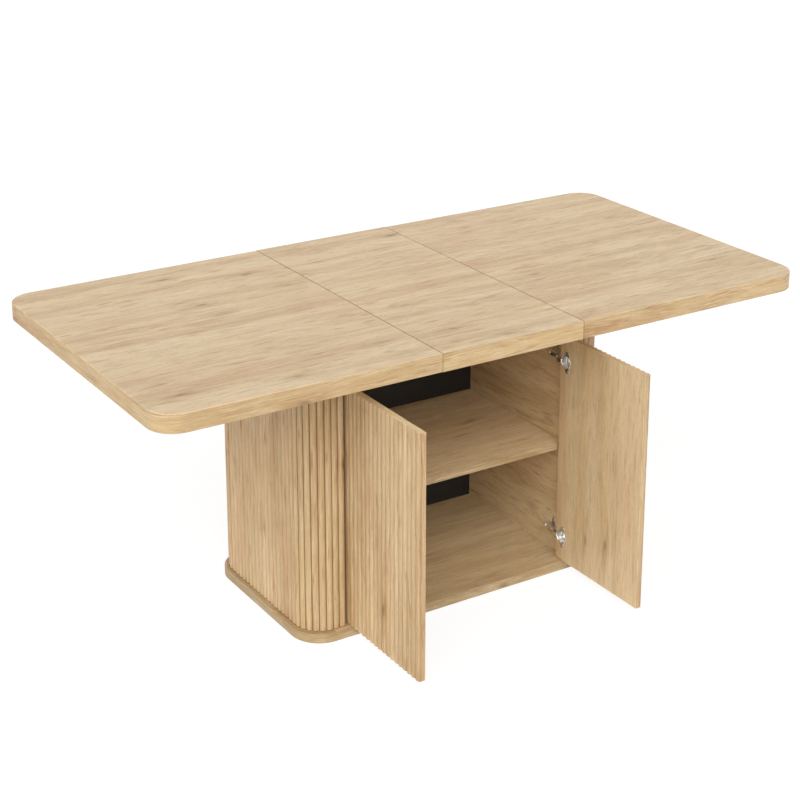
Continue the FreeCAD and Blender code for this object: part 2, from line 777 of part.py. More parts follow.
def centre_leaf():
    half_x = half_leaf - SEAM_GAP / 2
    half_y = TABLE_WIDTH / 2
    board = block((-half_x, half_x), (-half_y, half_y), (top_under, TABLE_HEIGHT))

    def long_edge(edge):
        return edge.BoundBox.XMax - edge.BoundBox.XMin > half_x

    def seam_edge(edge):
        return not long_edge(edge)

    board = soften(board, TOP_ROUND, TABLE_HEIGHT, long_edge)
    board = soften(board, UNDER_ROUND, top_under, long_edge)
    board = soften(board, SEAM_ROUND, TABLE_HEIGHT, seam_edge)
    z_range = (top_under - OVERRUN, top_under + PEG_IN_LEAF)
    return less(board, [upright(x, y, z_range, PEG_RADIUS) for x, y in peg_places()])


def leaf_pegs():
    low = rail_high - PEG_BELOW + PEG_GAP
    return group([upright(x, y, (low, top_under + PEG_IN_LEAF), PEG_RADIUS) for x, y in peg_places()])


def runner(side):
    """Bar under the right end that slides along the outer face of one rail."""
    near, far = sorted((side * runner_y, side * (runner_y + RUNNER_THICK)))
    bar = block((runner_x, runner_x + runner_length), (near, far), (keeper_high, top_under))
    return less(bar, top_screw_bores())


def keepers():
    """Plates that reach under the rails and stop the ends from tipping."""
    plates = []
    for side in (-1, 1):
        outer = runner_y + RUNNER_THICK
        near, far = sorted((side * (outer - RUNNER_THICK - KEEPER_REACH), side * outer))
        plates.append(block((keeper_x, keeper_x + KEEPER_LENGTH), (near, far), (keeper_low, keeper_high)))
    return group(plates)


def stiffener():
    half = STIFFENER_LENGTH / 2
    x_range = (stiffener_x - STIFFENER_WIDTH / 2, stiffener_x + STIFFENER_WIDTH / 2)
    bar = block(x_range, (-half, half), (top_under - STIFFENER_THICK, top_under))
    return less(bar, top_screw_bores())


def top_screw_places():
    places = []
    for side in (-1, 1):
        for share in RUNNER_SCREW_SHARES:
            places.append((runner_x + share * runner_length, side * (runner_y + RUNNER_THICK / 2)))
    for share in STIFFENER_SCREW_SHARES:
        places.append((stiffener_x, (share - 0.5) * STIFFENER_LENGTH))
    return places


def screw_seat(x):
    """Height of the underside that a screw's head is sunk into."""
    return top_under - STIFFENER_THICK if x > stiffener_x - STIFFENER_WIDTH / 2 else keeper_high


def top_screw_bores():
    bores = []
    for x, y in top_screw_places():
        seat = screw_seat(x)
        bores.append(upright(x, y, (seat - OVERRUN, top_under + OVERRUN), WOOD_SCREW_RADIUS))
        bores.append(upright(x, y, (seat - OVERRUN, seat + WOOD_HEAD_THICK), WOOD_SCREW_HEAD))
    return bores


def top_screws():
    screws = []
    for x, y in top_screw_places():
        seat = screw_seat(x)
        head = upright(x, y, (seat, seat + WOOD_HEAD_THICK), WOOD_SCREW_HEAD)
        shank = upright(x, y, (seat + WOOD_HEAD_THICK, top_under + WOOD_SCREW_DEEP), WOOD_SCREW_RADIUS)
        screws.append(head.fuse(shank))
    return group(screws)


single_nodes = {
    "plinth": plinth(),
    "floor_pads": floor_pads(),
    "top_plate": top_plate(),
    "reeded_rear_panel": reeded_rear(),
    "back_panel": back_panel(),
    "shelf": shelf(),
    "shelf_pins": shelf_pins(),
    "hinge_plate_screws": plate_screws(),
    "cross_beams": cross_beams(),
    "frame_screws": frame_screws(),
    "front_rail": rail(-1),
    "rear_rail": rail(1),
    "front_rail_glide": rail_glide(-1),
    "rear_rail_glide": rail_glide(1),
    "rail_end_caps": rail_end_caps(),
    "pivot_plate": pivot_plate(),
    "centre_pin": centre_pin(),
    "sync_bar": sync_bar(),
    "sync_bar_pins": bar_pins(),
    "centre_leaf": centre_leaf(),
    "centre_leaf_pegs": leaf_pegs(),
}

paired_nodes = {
    "side_panel": side_panel(),
    "reeded_end": reeded_end(),
    "end_battens": end_battens(),
    "hinge_arms": hinge_arms(),
    "hinge_plates": hinge_plates(),
    "door": door(),
    "hinge_cups": hinge_cups(),
    "hinge_pins": hinge_pins(),
    "hinge_cup_screws": cup_screws(),
    "link_rod": link_rod(),
    "end_top": end_top(),
    "front_runner": runner(-1),
    "rear_runner": runner(1),
    "keepers": keepers(),
    "stiffener": stiffener(),
    "link_bracket": link_bracket(),
    "bracket_pin": bracket_pin(),
    "top_screws": top_screws(),
}

nodes = dict(single_nodes)
for name, shape in paired_nodes.items():
    nodes["right_" + name] = shape
    nodes["left_" + name] = mirrored(shape)

os.makedirs("parts", exist_ok=True)
for name, shape in sorted(nodes.items()):
    shape.exportStep("parts/" + name + ".step")
    print(name, "solids", len(shape.Solids), "volume", round(shape.Volume), "valid", shape.isValid())

# The ends slide in by half the leaf while the bar turns, and the leaf lifts as the bar turns.
closing_turn = math.acos(1 - half_leaf / (2 * LINK_REACH))
print("hinge axis x", pivot_x, "y", pivot_y)
print("link levels bar", bar_low, bar_high, "rod", rod_low, rod_high)
print("bar turn from open to closed, radians", closing_turn)
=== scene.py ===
# %% [markdown]
# # An extending dining table with a reeded cabinet base
#
# The table comes in as a fixed frame of plain parts: a top in three pieces, a cabinet with two
# open doors, and the slide frame between them. This lesson dresses that frame. Boards get eased
# edges and a printed oak grain, reeds and screws come from Geometry Nodes, and the hinges are
# built up from pressed steel shapes. Every piece stays exactly where the frame has it.

import math

import bmesh
import bpy
from mathutils import Matrix, Vector


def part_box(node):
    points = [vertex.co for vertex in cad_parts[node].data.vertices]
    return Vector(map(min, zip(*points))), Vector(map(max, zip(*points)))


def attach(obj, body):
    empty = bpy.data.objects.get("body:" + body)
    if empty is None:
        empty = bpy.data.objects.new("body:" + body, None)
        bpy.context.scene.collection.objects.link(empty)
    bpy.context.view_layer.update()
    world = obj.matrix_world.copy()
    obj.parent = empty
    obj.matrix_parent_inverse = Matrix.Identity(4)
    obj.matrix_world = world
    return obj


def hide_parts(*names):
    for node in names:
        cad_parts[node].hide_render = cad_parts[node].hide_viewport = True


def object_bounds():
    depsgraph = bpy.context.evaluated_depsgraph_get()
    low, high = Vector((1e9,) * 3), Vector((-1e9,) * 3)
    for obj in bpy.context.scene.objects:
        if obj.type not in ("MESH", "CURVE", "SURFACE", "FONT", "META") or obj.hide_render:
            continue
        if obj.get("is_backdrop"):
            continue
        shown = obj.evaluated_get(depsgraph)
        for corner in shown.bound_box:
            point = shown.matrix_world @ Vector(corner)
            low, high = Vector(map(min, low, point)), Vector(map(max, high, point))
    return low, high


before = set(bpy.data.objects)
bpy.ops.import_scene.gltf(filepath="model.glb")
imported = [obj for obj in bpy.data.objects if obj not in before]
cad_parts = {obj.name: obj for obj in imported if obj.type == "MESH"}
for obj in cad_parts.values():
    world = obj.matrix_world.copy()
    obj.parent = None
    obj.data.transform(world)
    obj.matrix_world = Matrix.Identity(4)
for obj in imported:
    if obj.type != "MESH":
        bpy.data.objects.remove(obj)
cad_bounds = [list(corner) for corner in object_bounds()]
MM = 0.001
print("nodes in the frame:", len(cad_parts))
print("size in metres:", [round(high - low, 3) for low, high in zip(*cad_bounds)])

# %% [markdown]
# ## Camera
#
# The camera stands in front of the table, to its left and well above it. Its place and its focal
# length were worked out from the straight edges of the top, which is a rectangle of known size.
# A shifted lens keeps the upright lines of the cabinet as they should be while the view is framed
# a little low, just as a product photographer does it.

# %% Set up the camera
FOCAL_PIXELS = 1792.6
IMAGE_PIXELS = 800
LENS_CENTRE = (401.7, 229.1)
CAMERA_YAW = 32.22
CAMERA_PITCH = 17.12
CAMERA_PLACE = (-2.2917, -3.5941, 2.2323)

camera_data = bpy.data.cameras.new("camera")
camera_data.lens = FOCAL_PIXELS / IMAGE_PIXELS * camera_data.sensor_width
camera_data.shift_x = 0.5 - LENS_CENTRE[0] / IMAGE_PIXELS
camera_data.shift_y = LENS_CENTRE[1] / IMAGE_PIXELS - 0.5
camera = bpy.data.objects.new("camera", camera_data)
camera.location = CAMERA_PLACE
camera.rotation_euler = (math.radians(90 - CAMERA_PITCH), 0, math.radians(-CAMERA_YAW))
bpy.context.collection.objects.link(camera)
bpy.context.scene.camera = camera
print("lens in mm:", round(camera_data.lens, 2))

# %% [markdown]
# ## Helpers for colours and nodes
#
# Colours are easiest to read as sRGB hex values, as in a paint chart, but Blender's sockets hold
# linear light, so one function turns the one into the other. A second small function adds a node
# with its settings and its links in one call. Passing a node as a value links its first output,
# which keeps every material and every tree readable.

# %% Colour and node helpers
SRGB_KNEE = 0.04045
SRGB_SLOPE = 12.92
SRGB_OFFSET = 0.055
SRGB_POWER = 2.4


def linear(hex_colour):
    """The linear colour of an sRGB hex value."""
    channels = []
    for place in (1, 3, 5):
        share = int(hex_colour[place:place + 2], 16) / 255
        if share <= SRGB_KNEE:
            channels.append(share / SRGB_SLOPE)
        else:
            channels.append(((share + SRGB_OFFSET) / (1 + SRGB_OFFSET)) ** SRGB_POWER)
    return (*channels, 1.0)


def feed(tree, socket, value):
    """Fills a socket with a value or a hex colour, or links it to a node, an output or a list of them."""
    if isinstance(value, list):
        for single in value:
            feed(tree, socket, single)
    elif isinstance(value, bpy.types.Node):
        tree.links.new(next(output for output in value.outputs if output.enabled), socket)
    elif isinstance(value, bpy.types.NodeSocket):
        tree.links.new(value, socket)
    elif isinstance(value, str) and value.startswith("#"):
        socket.default_value = linear(value)
    else:
        socket.default_value = value


def add(tree, kind, *values, stops=(), **settings):
    """Adds a node with its settings. The values fill its sockets in turn, or one dict names them."""
    node = tree.nodes.new(kind)
    for key, value in settings.items():
        setattr(node, key, value)
    while stops and len(node.color_ramp.elements) < len(stops):
        node.color_ramp.elements.new(0.5)
    for element, (position, colour) in zip(node.color_ramp.elements if stops else (), stops):
        element.position = position
        element.color = linear(colour)
    if values and isinstance(values[0], dict):
        pairs = [(node.inputs[name], value) for name, value in values[0].items()]
    else:
        pairs = zip([socket for socket in node.inputs if socket.enabled], values)
    for socket, value in pairs:
        feed(tree, socket, value)
    return node


def new_material(name, roughness, metallic=0.0):
    """A material with its Principled shader, and the tree that feeds it."""
    material = bpy.data.materials.new(name)
    material.use_nodes = True
    shader = material.node_tree.nodes["Principled BSDF"]
    shader.inputs["Roughness"].default_value = roughness
    shader.inputs["Metallic"].default_value = metallic
    return material, material.node_tree


def finish(tree, colour, relief, strength, depth, roughness=None, sunk=False):
    """Gives the Principled shader its colour and a relief, and its roughness where that varies."""
    bump = add(tree, "ShaderNodeBump", {"Height": relief, "Strength": strength, "Distance": depth},
               invert=sunk)
    shader = tree.nodes["Principled BSDF"]
    feed(tree, shader.inputs["Base Color"], colour)
    feed(tree, shader.inputs["Normal"], bump)
    if roughness:
        feed(tree, shader.inputs["Roughness"], roughness)


print("warm white as linear light:", [round(c, 3) for c in linear("#F4EEE2")])

# %% [markdown]
# ## Studio
#
# The room is a white studio: a pale floor, white walls that are brighter than the ceiling, and two
# large soft lights. One stands to the left and models the reeds, the other stands in front and
# reaches into the open cabinet. Together they bring about one unit of light to a surface that
# faces up or forward, so colours render about as they are written. Rays that go straight to the
# camera, or that are seen in metal, find a plain white instead.

# %% Light the studio
HORIZON_LIGHT = 0.74
ZENITH_LIGHT = 0.30
LIGHTS = {"left light": (1.1, 46, (52, 0, -66)), "front light": (1.35, 40, (54, 0, -18))}

scene = bpy.context.scene
scene.view_settings.view_transform = "Standard"
world = bpy.data.worlds.new("white studio")
scene.world = world
world.use_nodes = True
sky = world.node_tree


def seen_directly(tree):
    """1 for rays from the camera and rays seen in a reflection or through glass."""
    rays = add(tree, "ShaderNodeLightPath").outputs
    seen = add(tree, "ShaderNodeMath", rays["Is Camera Ray"], rays["Is Glossy Ray"], operation="MAXIMUM")
    return add(tree, "ShaderNodeMath", seen, rays["Is Transmission Ray"], operation="MAXIMUM")


way = add(sky, "ShaderNodeTexCoord").outputs["Generated"]
rise = add(sky, "ShaderNodeSeparateXYZ", way).outputs["Z"]
wall_light = add(sky, "ShaderNodeMapRange", rise, 0, 1, HORIZON_LIGHT, ZENITH_LIGHT)
strength = add(sky, "ShaderNodeMapRange", seen_directly(sky), 0, 1, wall_light, 1.0)
feed(sky, sky.nodes["Background"].inputs["Strength"], strength)
feed(sky, sky.nodes["Background"].inputs["Color"], "#FFFFFF")
for name, (energy, softness, turn) in LIGHTS.items():
    lamp_data = bpy.data.lights.new(name, "SUN")
    lamp_data.energy = energy
    lamp_data.angle = math.radians(softness)
    lamp = bpy.data.objects.new(name, lamp_data)
    lamp.rotation_euler = [math.radians(angle) for angle in turn]
    bpy.context.collection.objects.link(lamp)
print("lights:", list(LIGHTS))

# %% Lay the floor
FLOOR_HALF = 12.0
FLOOR_SHADE = 0.22
FLOOR_GLOW = 0.86

floor_mesh = bpy.data.meshes.new("studio_floor")
corners = [(x * FLOOR_HALF, y * FLOOR_HALF, 0) for x, y in ((-1, -1), (1, -1), (1, 1), (-1, 1))]
floor_mesh.from_pydata(corners, [], [(0, 1, 2, 3)])
floor = bpy.data.objects.new("studio_floor", floor_mesh)
bpy.context.collection.objects.link(floor)
floor_paint, tree = new_material("white studio paper", 0.5)
paper = add(tree, "ShaderNodeBsdfDiffuse", "#F2F0EC")
faint = add(tree, "ShaderNodeBsdfDiffuse", (FLOOR_SHADE, FLOOR_SHADE, FLOOR_SHADE, 1))
glow = add(tree, "ShaderNodeEmission", "#FFFFFF", FLOOR_GLOW)
lit = add(tree, "ShaderNodeAddShader", faint, glow)
mixed = add(tree, "ShaderNodeMixShader", seen_directly(tree), paper, lit)
feed(tree, tree.nodes["Material Output"].inputs["Surface"], mixed)
floor_mesh.materials.append(floor_paint)
floor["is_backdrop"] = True
print("floor is", 2 * FLOOR_HALF, "m wide")

# %% [markdown]
# ## Oak laminate
#
# The boards are fibreboard with an oak print under a matt film. The eye tells several layers of
# such a print apart: broad bands of slightly different shade, nested arcs where a plank was cut
# across its rings, streaks and fine lines, soft brown flecks, short pores, and now and then a
# small knot with tails along the grain. Each layer is a noise that is squeezed across the grain
# and stretched along it, so one function can lay them along any direction. Sizes are given as
# length along the grain and width across it.

# %% Layers of an oak print
BAND = (700 * MM, 60 * MM)
ARC_FIELD = (620 * MM, 110 * MM)
ARCS_PER_FIELD = 12.0
STREAK = (210 * MM, 15 * MM)
LINE = (70 * MM, 2.2 * MM)
FLECK = (75 * MM, 11 * MM)
PORE = (16 * MM, 1.0 * MM)
KNOT = (230 * MM, 64 * MM)
KNOT_SOFT = (0.05, 0.34)
KNOT_CORE = (0.02, 0.10)
SWAY = (550 * MM, 160 * MM)
SWAY_REACH = 8 * MM
RIPPLE = (120 * MM, 40 * MM)
RIPPLE_REACH = 1.6 * MM
GRAIN_TURNS = {"x": (0, 0, 0), "y": (0, 0, math.radians(-90)), "z": (0, math.radians(90), 0)}


def squeezed(tree, place, size, detail=2.0, offset=0.0):
    """A noise whose features are long along the grain and narrow across it."""
    length, width = size
    scaled = add(tree, "ShaderNodeMapping", {
        "Vector": place, "Location": (offset, offset, offset), "Scale": (1 / length, 1 / width, 1 / width)})
    return add(tree, "ShaderNodeTexNoise", {"Vector": scaled, "Scale": 1.0, "Detail": detail})


def grain_place(tree, grain):
    """Places on the board with the grain along the first axis."""
    places = add(tree, "ShaderNodeTexCoord").outputs
    if grain == "uv":
        return places["UV"]
    return add(tree, "ShaderNodeMapping", {"Vector": places["Object"], "Rotation": GRAIN_TURNS[grain]})


def wavy(tree, place, reach, size=SWAY):
    """Bends the grain gently from side to side."""
    sway = squeezed(tree, place, size, 1.0, 7.0)
    centred = add(tree, "ShaderNodeMapRange", sway, 0.25, 0.75, -reach, reach)
    shift = add(tree, "ShaderNodeCombineXYZ", 0.0, centred, centred)
    return add(tree, "ShaderNodeVectorMath", place, shift, operation="ADD")


def knots(tree, place):
    """Sparse spots, drawn out along the grain: a soft mask and a smaller one for the dark core."""
    length, width = KNOT
    scaled = add(tree, "ShaderNodeMapping", {"Vector": place, "Scale": (1 / length, 1 / width, 1 / width)})
    cells = add(tree, "ShaderNodeTexVoronoi", {"Vector": scaled, "Scale": 1.0})
    chance = add(tree, "ShaderNodeSeparateColor", cells.outputs["Color"])
    chosen = add(tree, "ShaderNodeMapRange", chance, 0.30, 0.60)
    masks = []
    for near, far in (KNOT_SOFT, KNOT_CORE):
        spot = add(tree, "ShaderNodeMapRange", cells, near, far, 1.0, 0.0)
        masks.append(add(tree, "ShaderNodeMath", spot, chosen, operation="MULTIPLY"))
    return masks


def lay(tree, colour, shade, *masks, mode="MIX"):
    """Lays a shade over a colour where all of its masks are high."""
    amount = masks[0]
    for mask in masks[1:]:
        amount = add(tree, "ShaderNodeMath", amount, mask, operation="MULTIPLY")
    return add(tree, "ShaderNodeMix", amount, colour, shade, data_type="RGBA", blend_type=mode)


print("finest size in the print in mm:", PORE[1] / MM)

# %% [markdown]
# ## Shades of the oak
#
# The same print comes in a few shades: the top, its rim, the reeded cabinet, the boards inside and
# the edge bands. On the reeds each strip is a little warmer or cooler than the next. Painted shade
# darkens the grooves between them, most where the corner reeds stand close, and a painted shadow
# line darkens their foot. Each layer below names where its noise starts to show, where it is full,
# and how much.

# %% Oak laminate in its shades
# Painted shadow line at the foot of the reeds, and painted shade in their grooves.
FOOT_SHADOW_HEIGHT = 2.2 * MM
FOOT_SHADOW_STRENGTH = 0.9
NARROW_REED = 8.8 * MM
WIDE_REED = 9.1 * MM
GROOVE_SHADE_STRENGTHS = (0.85, 0.30)
PALE = "#E5CFAB"
DARK_LINE = "#B99A70"
FLECK_BROWN = "#A0744A"
PORE_BROWN = "#94744A"
KNOT_BROWN = "#6F5130"
REED_PAINTED_SHADE = "#6B4A28"
HUES = ((0.48, 0.34, 0.6, "#FFFBEC"), (0.52, 0.66, 0.6, "#FFF5EF"))
STREAKS = ((0.52, 0.72, 0.28, DARK_LINE), (0.48, 0.30, 0.30, PALE))
LINES = ((0.52, 0.72, 0.58, DARK_LINE), (0.48, 0.32, 0.52, PALE))
REED_HUES = ((0.5, 1.0, "#FFF3E7"), (0.5, 0.0, "#F3F2E4"))
ARC_CRESTS = (0.1, 1.0)
ARC_PATCHES = (0.46, 0.58)
FLECKS_SHOW = (0.565, 0.72)
FLECKS_BREAK = (0.36, 0.60)
PORES_SHOW = (0.58, 0.72)
PORE_DEEP = 0.12 * MM
CORE_AMOUNT = 0.7
PORE_AMOUNT = 0.45
FILM_ROUGHNESS = 0.46
PORE_ROUGHNESS = 0.62
TONE_PLACES = (0.36, 0.50, 0.64)
TOP_TONES = ("#E2CBA6", "#D9BF98", "#CCAE87")
RIM_TONES = ("#CDB185", "#C4A679", "#B9986B")
CABINET_TONES = ("#D1B78F", "#C7AB82", "#BC9C71")
# The edge band is darker than the board's print; on the plinth's step it also paints the shade under the
# table top.
BAND_TONES = ("#AE9770", "#A58D66", "#9C825A")
# Darker oak band in the seams between boards; its dark tone also paints the shade inside the narrow gaps.
SEAM_TONES_WITH_SHADE = ("#86643C", "#775632", "#6A4B2A")
PLINTH_TONES = ("#D8C39B", "#D0B890", "#C7AC83")
# The boards inside are paler than the reeded cabinet; part of that paleness is painted light for the shaded
# inside.
INNER_TONES_WITH_PAINTED_LIGHT = ("#ECD6AE", "#E6CBA1", "#DABC90")


def reed_tones_and_painted_shade(tree, colour, tone_reach):
    """Gives each reed its own shade, and paints shade into the grooves and a shadow line where the reeds
    stand.

    The narrow reeds at the corners stand closer, so their grooves get more painted shade.
    """
    tone = add(tree, "ShaderNodeAttribute", attribute_name="tone").outputs["Fac"]
    for start, full, shade in REED_HUES:
        amount = add(tree, "ShaderNodeMapRange", tone, start, full, 0.0, tone_reach)
        colour = lay(tree, colour, shade, amount, mode="MULTIPLY")
    reed = add(tree, "ShaderNodeAttribute", attribute_name="reed").outputs["Vector"]
    place = add(tree, "ShaderNodeTexCoord").outputs["Object"]
    gap = add(tree, "ShaderNodeVectorMath", place, reed, operation="SUBTRACT")
    level_gap = add(tree, "ShaderNodeVectorMath", gap, (1, 1, 0), operation="MULTIPLY")
    away = add(tree, "ShaderNodeVectorMath", level_gap, operation="LENGTH")
    half = add(tree, "ShaderNodeSeparateXYZ", reed).outputs["Z"]
    ratio = add(tree, "ShaderNodeMath", away, half, operation="DIVIDE")
    # Painted shade: the print darkens towards each groove, more where the corner reeds stand close.
    near_groove = add(tree, "ShaderNodeMapRange", ratio, 0.80, 0.98)
    on_reed = add(tree, "ShaderNodeMapRange", ratio, 1.10, 1.03)
    deep = add(tree, "ShaderNodeMapRange", half, NARROW_REED, WIDE_REED, *GROOVE_SHADE_STRENGTHS)
    colour = lay(tree, colour, REED_PAINTED_SHADE, near_groove, on_reed, deep)
    # Painted shadow: a dark line where the reeds stand on the plinth.
    foot = add(tree, "ShaderNodeAttribute", attribute_name="foot").outputs["Fac"]
    height = add(tree, "ShaderNodeSeparateXYZ", place).outputs["Z"]
    above = add(tree, "ShaderNodeMath", height, foot, operation="SUBTRACT")
    low = add(tree, "ShaderNodeMapRange", above, 0.4 * FOOT_SHADOW_HEIGHT, FOOT_SHADOW_HEIGHT, FOOT_SHADOW_STRENGTH, 0.0)
    return lay(tree, colour, REED_PAINTED_SHADE, low)


def oak(name, grain, tones, arcs=0.20, fleck=0.70, reed_tone=0.0):
    """Matt oak laminate. Tones are the pale, the middle and the warm shade of the bands."""
    material, tree = new_material(name, 0.5)
    place = wavy(tree, wavy(tree, grain_place(tree, grain), SWAY_REACH), RIPPLE_REACH, RIPPLE)
    bands = squeezed(tree, place, BAND, 3.0)
    colour = add(tree, "ShaderNodeValToRGB", bands, stops=list(zip(TONE_PLACES, tones)))
    hue = squeezed(tree, place, BAND, 2.0, 41.0)
    for start, full, most, shade in HUES:
        amount = add(tree, "ShaderNodeMapRange", hue, start, full, 0.0, most)
        colour = lay(tree, colour, shade, amount, mode="MULTIPLY")
    field = squeezed(tree, place, ARC_FIELD, 1.0, 3.0)
    turns = add(tree, "ShaderNodeMath", field, ARCS_PER_FIELD * math.tau, operation="MULTIPLY")
    rings = add(tree, "ShaderNodeMath", turns, operation="SINE")
    crests = add(tree, "ShaderNodeMapRange", rings, *ARC_CRESTS)
    patches = squeezed(tree, place, ARC_FIELD, 1.0, 23.0)
    patch = add(tree, "ShaderNodeMapRange", patches, *ARC_PATCHES, 0.0, arcs)
    colour = lay(tree, colour, DARK_LINE, crests, patch)
    streaks = squeezed(tree, place, STREAK, 4.0, 11.0)
    lines = squeezed(tree, place, LINE, 3.0, 5.0)
    for noise, layers in ((streaks, STREAKS), (lines, LINES)):
        for start, full, most, shade in layers:
            colour = lay(tree, colour, shade, add(tree, "ShaderNodeMapRange", noise, start, full, 0.0, most))
    flecks = add(tree, "ShaderNodeMapRange", squeezed(tree, place, FLECK, 2.0, 31.0), *FLECKS_SHOW)
    broken = add(tree, "ShaderNodeMapRange", lines, *FLECKS_BREAK, 0.0, fleck)
    knot, core = knots(tree, place)
    pores = add(tree, "ShaderNodeMapRange", squeezed(tree, place, PORE, 2.0, 17.0), *PORES_SHOW)
    colour = lay(tree, colour, FLECK_BROWN, flecks, broken)
    colour = lay(tree, colour, FLECK_BROWN, knot, broken)
    colour = lay(tree, colour, KNOT_BROWN, core, CORE_AMOUNT)
    colour = lay(tree, colour, PORE_BROWN, pores, PORE_AMOUNT)
    # On reeds: a tone for each reed, with painted shade in the grooves and a painted shadow at the foot.
    if reed_tone:
        colour = reed_tones_and_painted_shade(tree, colour, reed_tone)
    roughness = add(tree, "ShaderNodeMapRange", pores, 0.0, 1.0, FILM_ROUGHNESS, PORE_ROUGHNESS)
    finish(tree, colour, pores, 0.25, PORE_DEEP, roughness, sunk=True)
    return material


oak_top = oak("oak laminate, table top", "uv", TOP_TONES, arcs=0.30)
oak_rim = oak("oak edge band, table top", "uv", RIM_TONES, arcs=0.1)
# The seam band's dark tone is partly the band's own colour and partly painted shade for the gaps.
oak_seam = oak("oak edge band, seams", "uv", SEAM_TONES_WITH_SHADE, arcs=0.1, fleck=0.3)
oak_board = oak("oak laminate, plinth and plate", "uv", PLINTH_TONES, fleck=0.4)
oak_band = oak("oak edge band, plinth and plate", "uv", BAND_TONES, fleck=0.4)
oak_shelf_band = oak("oak edge band, shelf", "x", BAND_TONES, arcs=0.1, fleck=0.3)
# The inner boards' pale tones partly paint light into the shaded cabinet.
oak_along = oak("oak laminate, grain along the table", "x", INNER_TONES_WITH_PAINTED_LIGHT, fleck=0.5)
oak_across = oak("oak laminate, grain front to back", "y", INNER_TONES_WITH_PAINTED_LIGHT, arcs=0.50, fleck=0.6)
oak_upright = oak("oak laminate, upright grain on reeds", "z", CABINET_TONES, reed_tone=0.45)
oak_inner = oak("oak laminate, upright grain inside the doors", "z", INNER_TONES_WITH_PAINTED_LIGHT, fleck=0.35)
print("oak materials:", [m.name for m in bpy.data.materials if m.name.startswith("oak ")])

# %% [markdown]
# ## Board materials that stay out of sight
#
# The doors' fibreboard shows where the hinge cups are let in, the battens are planed softwood, the
# leaf's pegs are turned beech, and the back is a thin board with a black film. Felt, powder coat,
# nylon and moulded plastic are made the same way: two near shades in small even specks.

# %% Fibreboard, softwood, beech and black board
def speckled(name, dark, pale, size, roughness, depth):
    """A surface with small even specks, such as pressed fibre, felt or powder coat."""
    material, tree = new_material(name, roughness)
    place = add(tree, "ShaderNodeTexCoord").outputs["Object"]
    specks = add(tree, "ShaderNodeTexNoise", {"Vector": place, "Scale": 1 / size, "Detail": 4.0})
    colour = add(tree, "ShaderNodeValToRGB", specks, stops=[(0.35, dark), (0.65, pale)])
    finish(tree, colour, specks, 0.5, depth)
    return material


def plain_wood(name, grain, pale, line, ring_width, roughness):
    """Solid wood with straight rings along one direction."""
    material, tree = new_material(name, roughness)
    place = wavy(tree, grain_place(tree, grain), 3 * MM)
    rings = squeezed(tree, place, (60 * ring_width, ring_width), 2.0)
    colour = add(tree, "ShaderNodeValToRGB", rings, stops=[(0.35, pale), (0.6, line)])
    finish(tree, colour, rings, 0.3, 0.2 * MM)
    return material


fibreboard = speckled("medium density fibreboard, bored", "#8E6C48", "#B08E64", 1.2 * MM, 0.85, 0.2 * MM)
black_board = speckled("black film on thin board", "#171717", "#242322", 2 * MM, 0.55, 0.05 * MM)
softwood = plain_wood("planed softwood", "z", "#DDBF8C", "#BE9458", 4 * MM, 0.6)
beech = plain_wood("turned beech", "z", "#D9B383", "#C0905C", 2 * MM, 0.45)
felt = speckled("pressed felt", "#3F3730", "#6A5D50", 0.8 * MM, 0.95, 0.4 * MM)
black_coat = speckled("black powder coat", "#141415", "#1F1F21", 0.9 * MM, 0.42, 0.06 * MM)
nylon = speckled("extruded nylon", "#DAD9D2", "#E6E5DF", 6 * MM, 0.38, 0.02 * MM)
black_plastic = speckled("moulded black plastic", "#121213", "#1B1B1C", 0.5 * MM, 0.4, 0.03 * MM)
plain = (fibreboard, black_board, softwood, beech, felt, black_coat, nylon, black_plastic)
print("plain materials:", [material.name for material in plain])

# %% [markdown]
# ## Metals
#
# The hinges are pressed steel with nickel, the links and screws are steel with zinc. Both
# are metals, so their colour is the colour of their reflection. What tells them apart is how
# smooth they are, and the faint clouds and fine rubbing marks that plating has.

# %% Nickel and zinc
def plated(name, dark, pale, cloud_size, smooth, rough):
    """Plated steel with soft clouds in its colour and in its gloss."""
    material, tree = new_material(name, smooth, metallic=1.0)
    place = add(tree, "ShaderNodeTexCoord").outputs["Object"]
    clouds = add(tree, "ShaderNodeTexNoise", {"Vector": place, "Scale": 1 / cloud_size, "Detail": 3.0})
    marks = squeezed(tree, place, (9 * MM, 0.4 * MM), 2.0)
    colour = add(tree, "ShaderNodeValToRGB", clouds, stops=[(0.3, dark), (0.7, pale)])
    gloss = add(tree, "ShaderNodeMapRange", clouds, 0.3, 0.7, smooth, rough)
    finish(tree, colour, marks, 0.12, 0.03 * MM, gloss)
    return material


nickel = plated("nickel plate", "#E8E6E2", "#F2F1EE", 11 * MM, 0.31, 0.35)
zinc = plated("blue zinc plate", "#A9ADB2", "#C6C8CB", 17 * MM, 0.30, 0.45)
zinc_turned = plated("turned steel, zinc plated", "#A6A9AD", "#BFC1C4", 7 * MM, 0.24, 0.36)
zinc_screw = plated("zinc plated screw", "#B3B3B2", "#CBCAC7", 5 * MM, 0.26, 0.40)
print("metals:", [m.name for m in (nickel, zinc, zinc_turned, zinc_screw)])

# %% [markdown]
# ## Making and placing pieces
#
# Every piece starts as an outline that is pulled up into a closed block, or as a shape that is
# edited point by point. A few short helpers turn such a shape into a piece, settle its modifiers
# into a plain mesh, shade it evenly, and let it take over one part of the frame.

# %% Helpers for pieces
SHARP_ANGLE = math.radians(28)
MERGE = 0.01 * MM
FACE_UPRIGHT = 0.7
CORNER_STEPS = 24


def arc(centre, radius, start, end, steps):
    """Points on an arc in even steps, from a start to an end in degrees."""
    angles = [math.radians(start + (end - start) * step / steps) for step in range(steps + 1)]
    return [(centre[0] + radius * math.cos(a), centre[1] + radius * math.sin(a)) for a in angles]


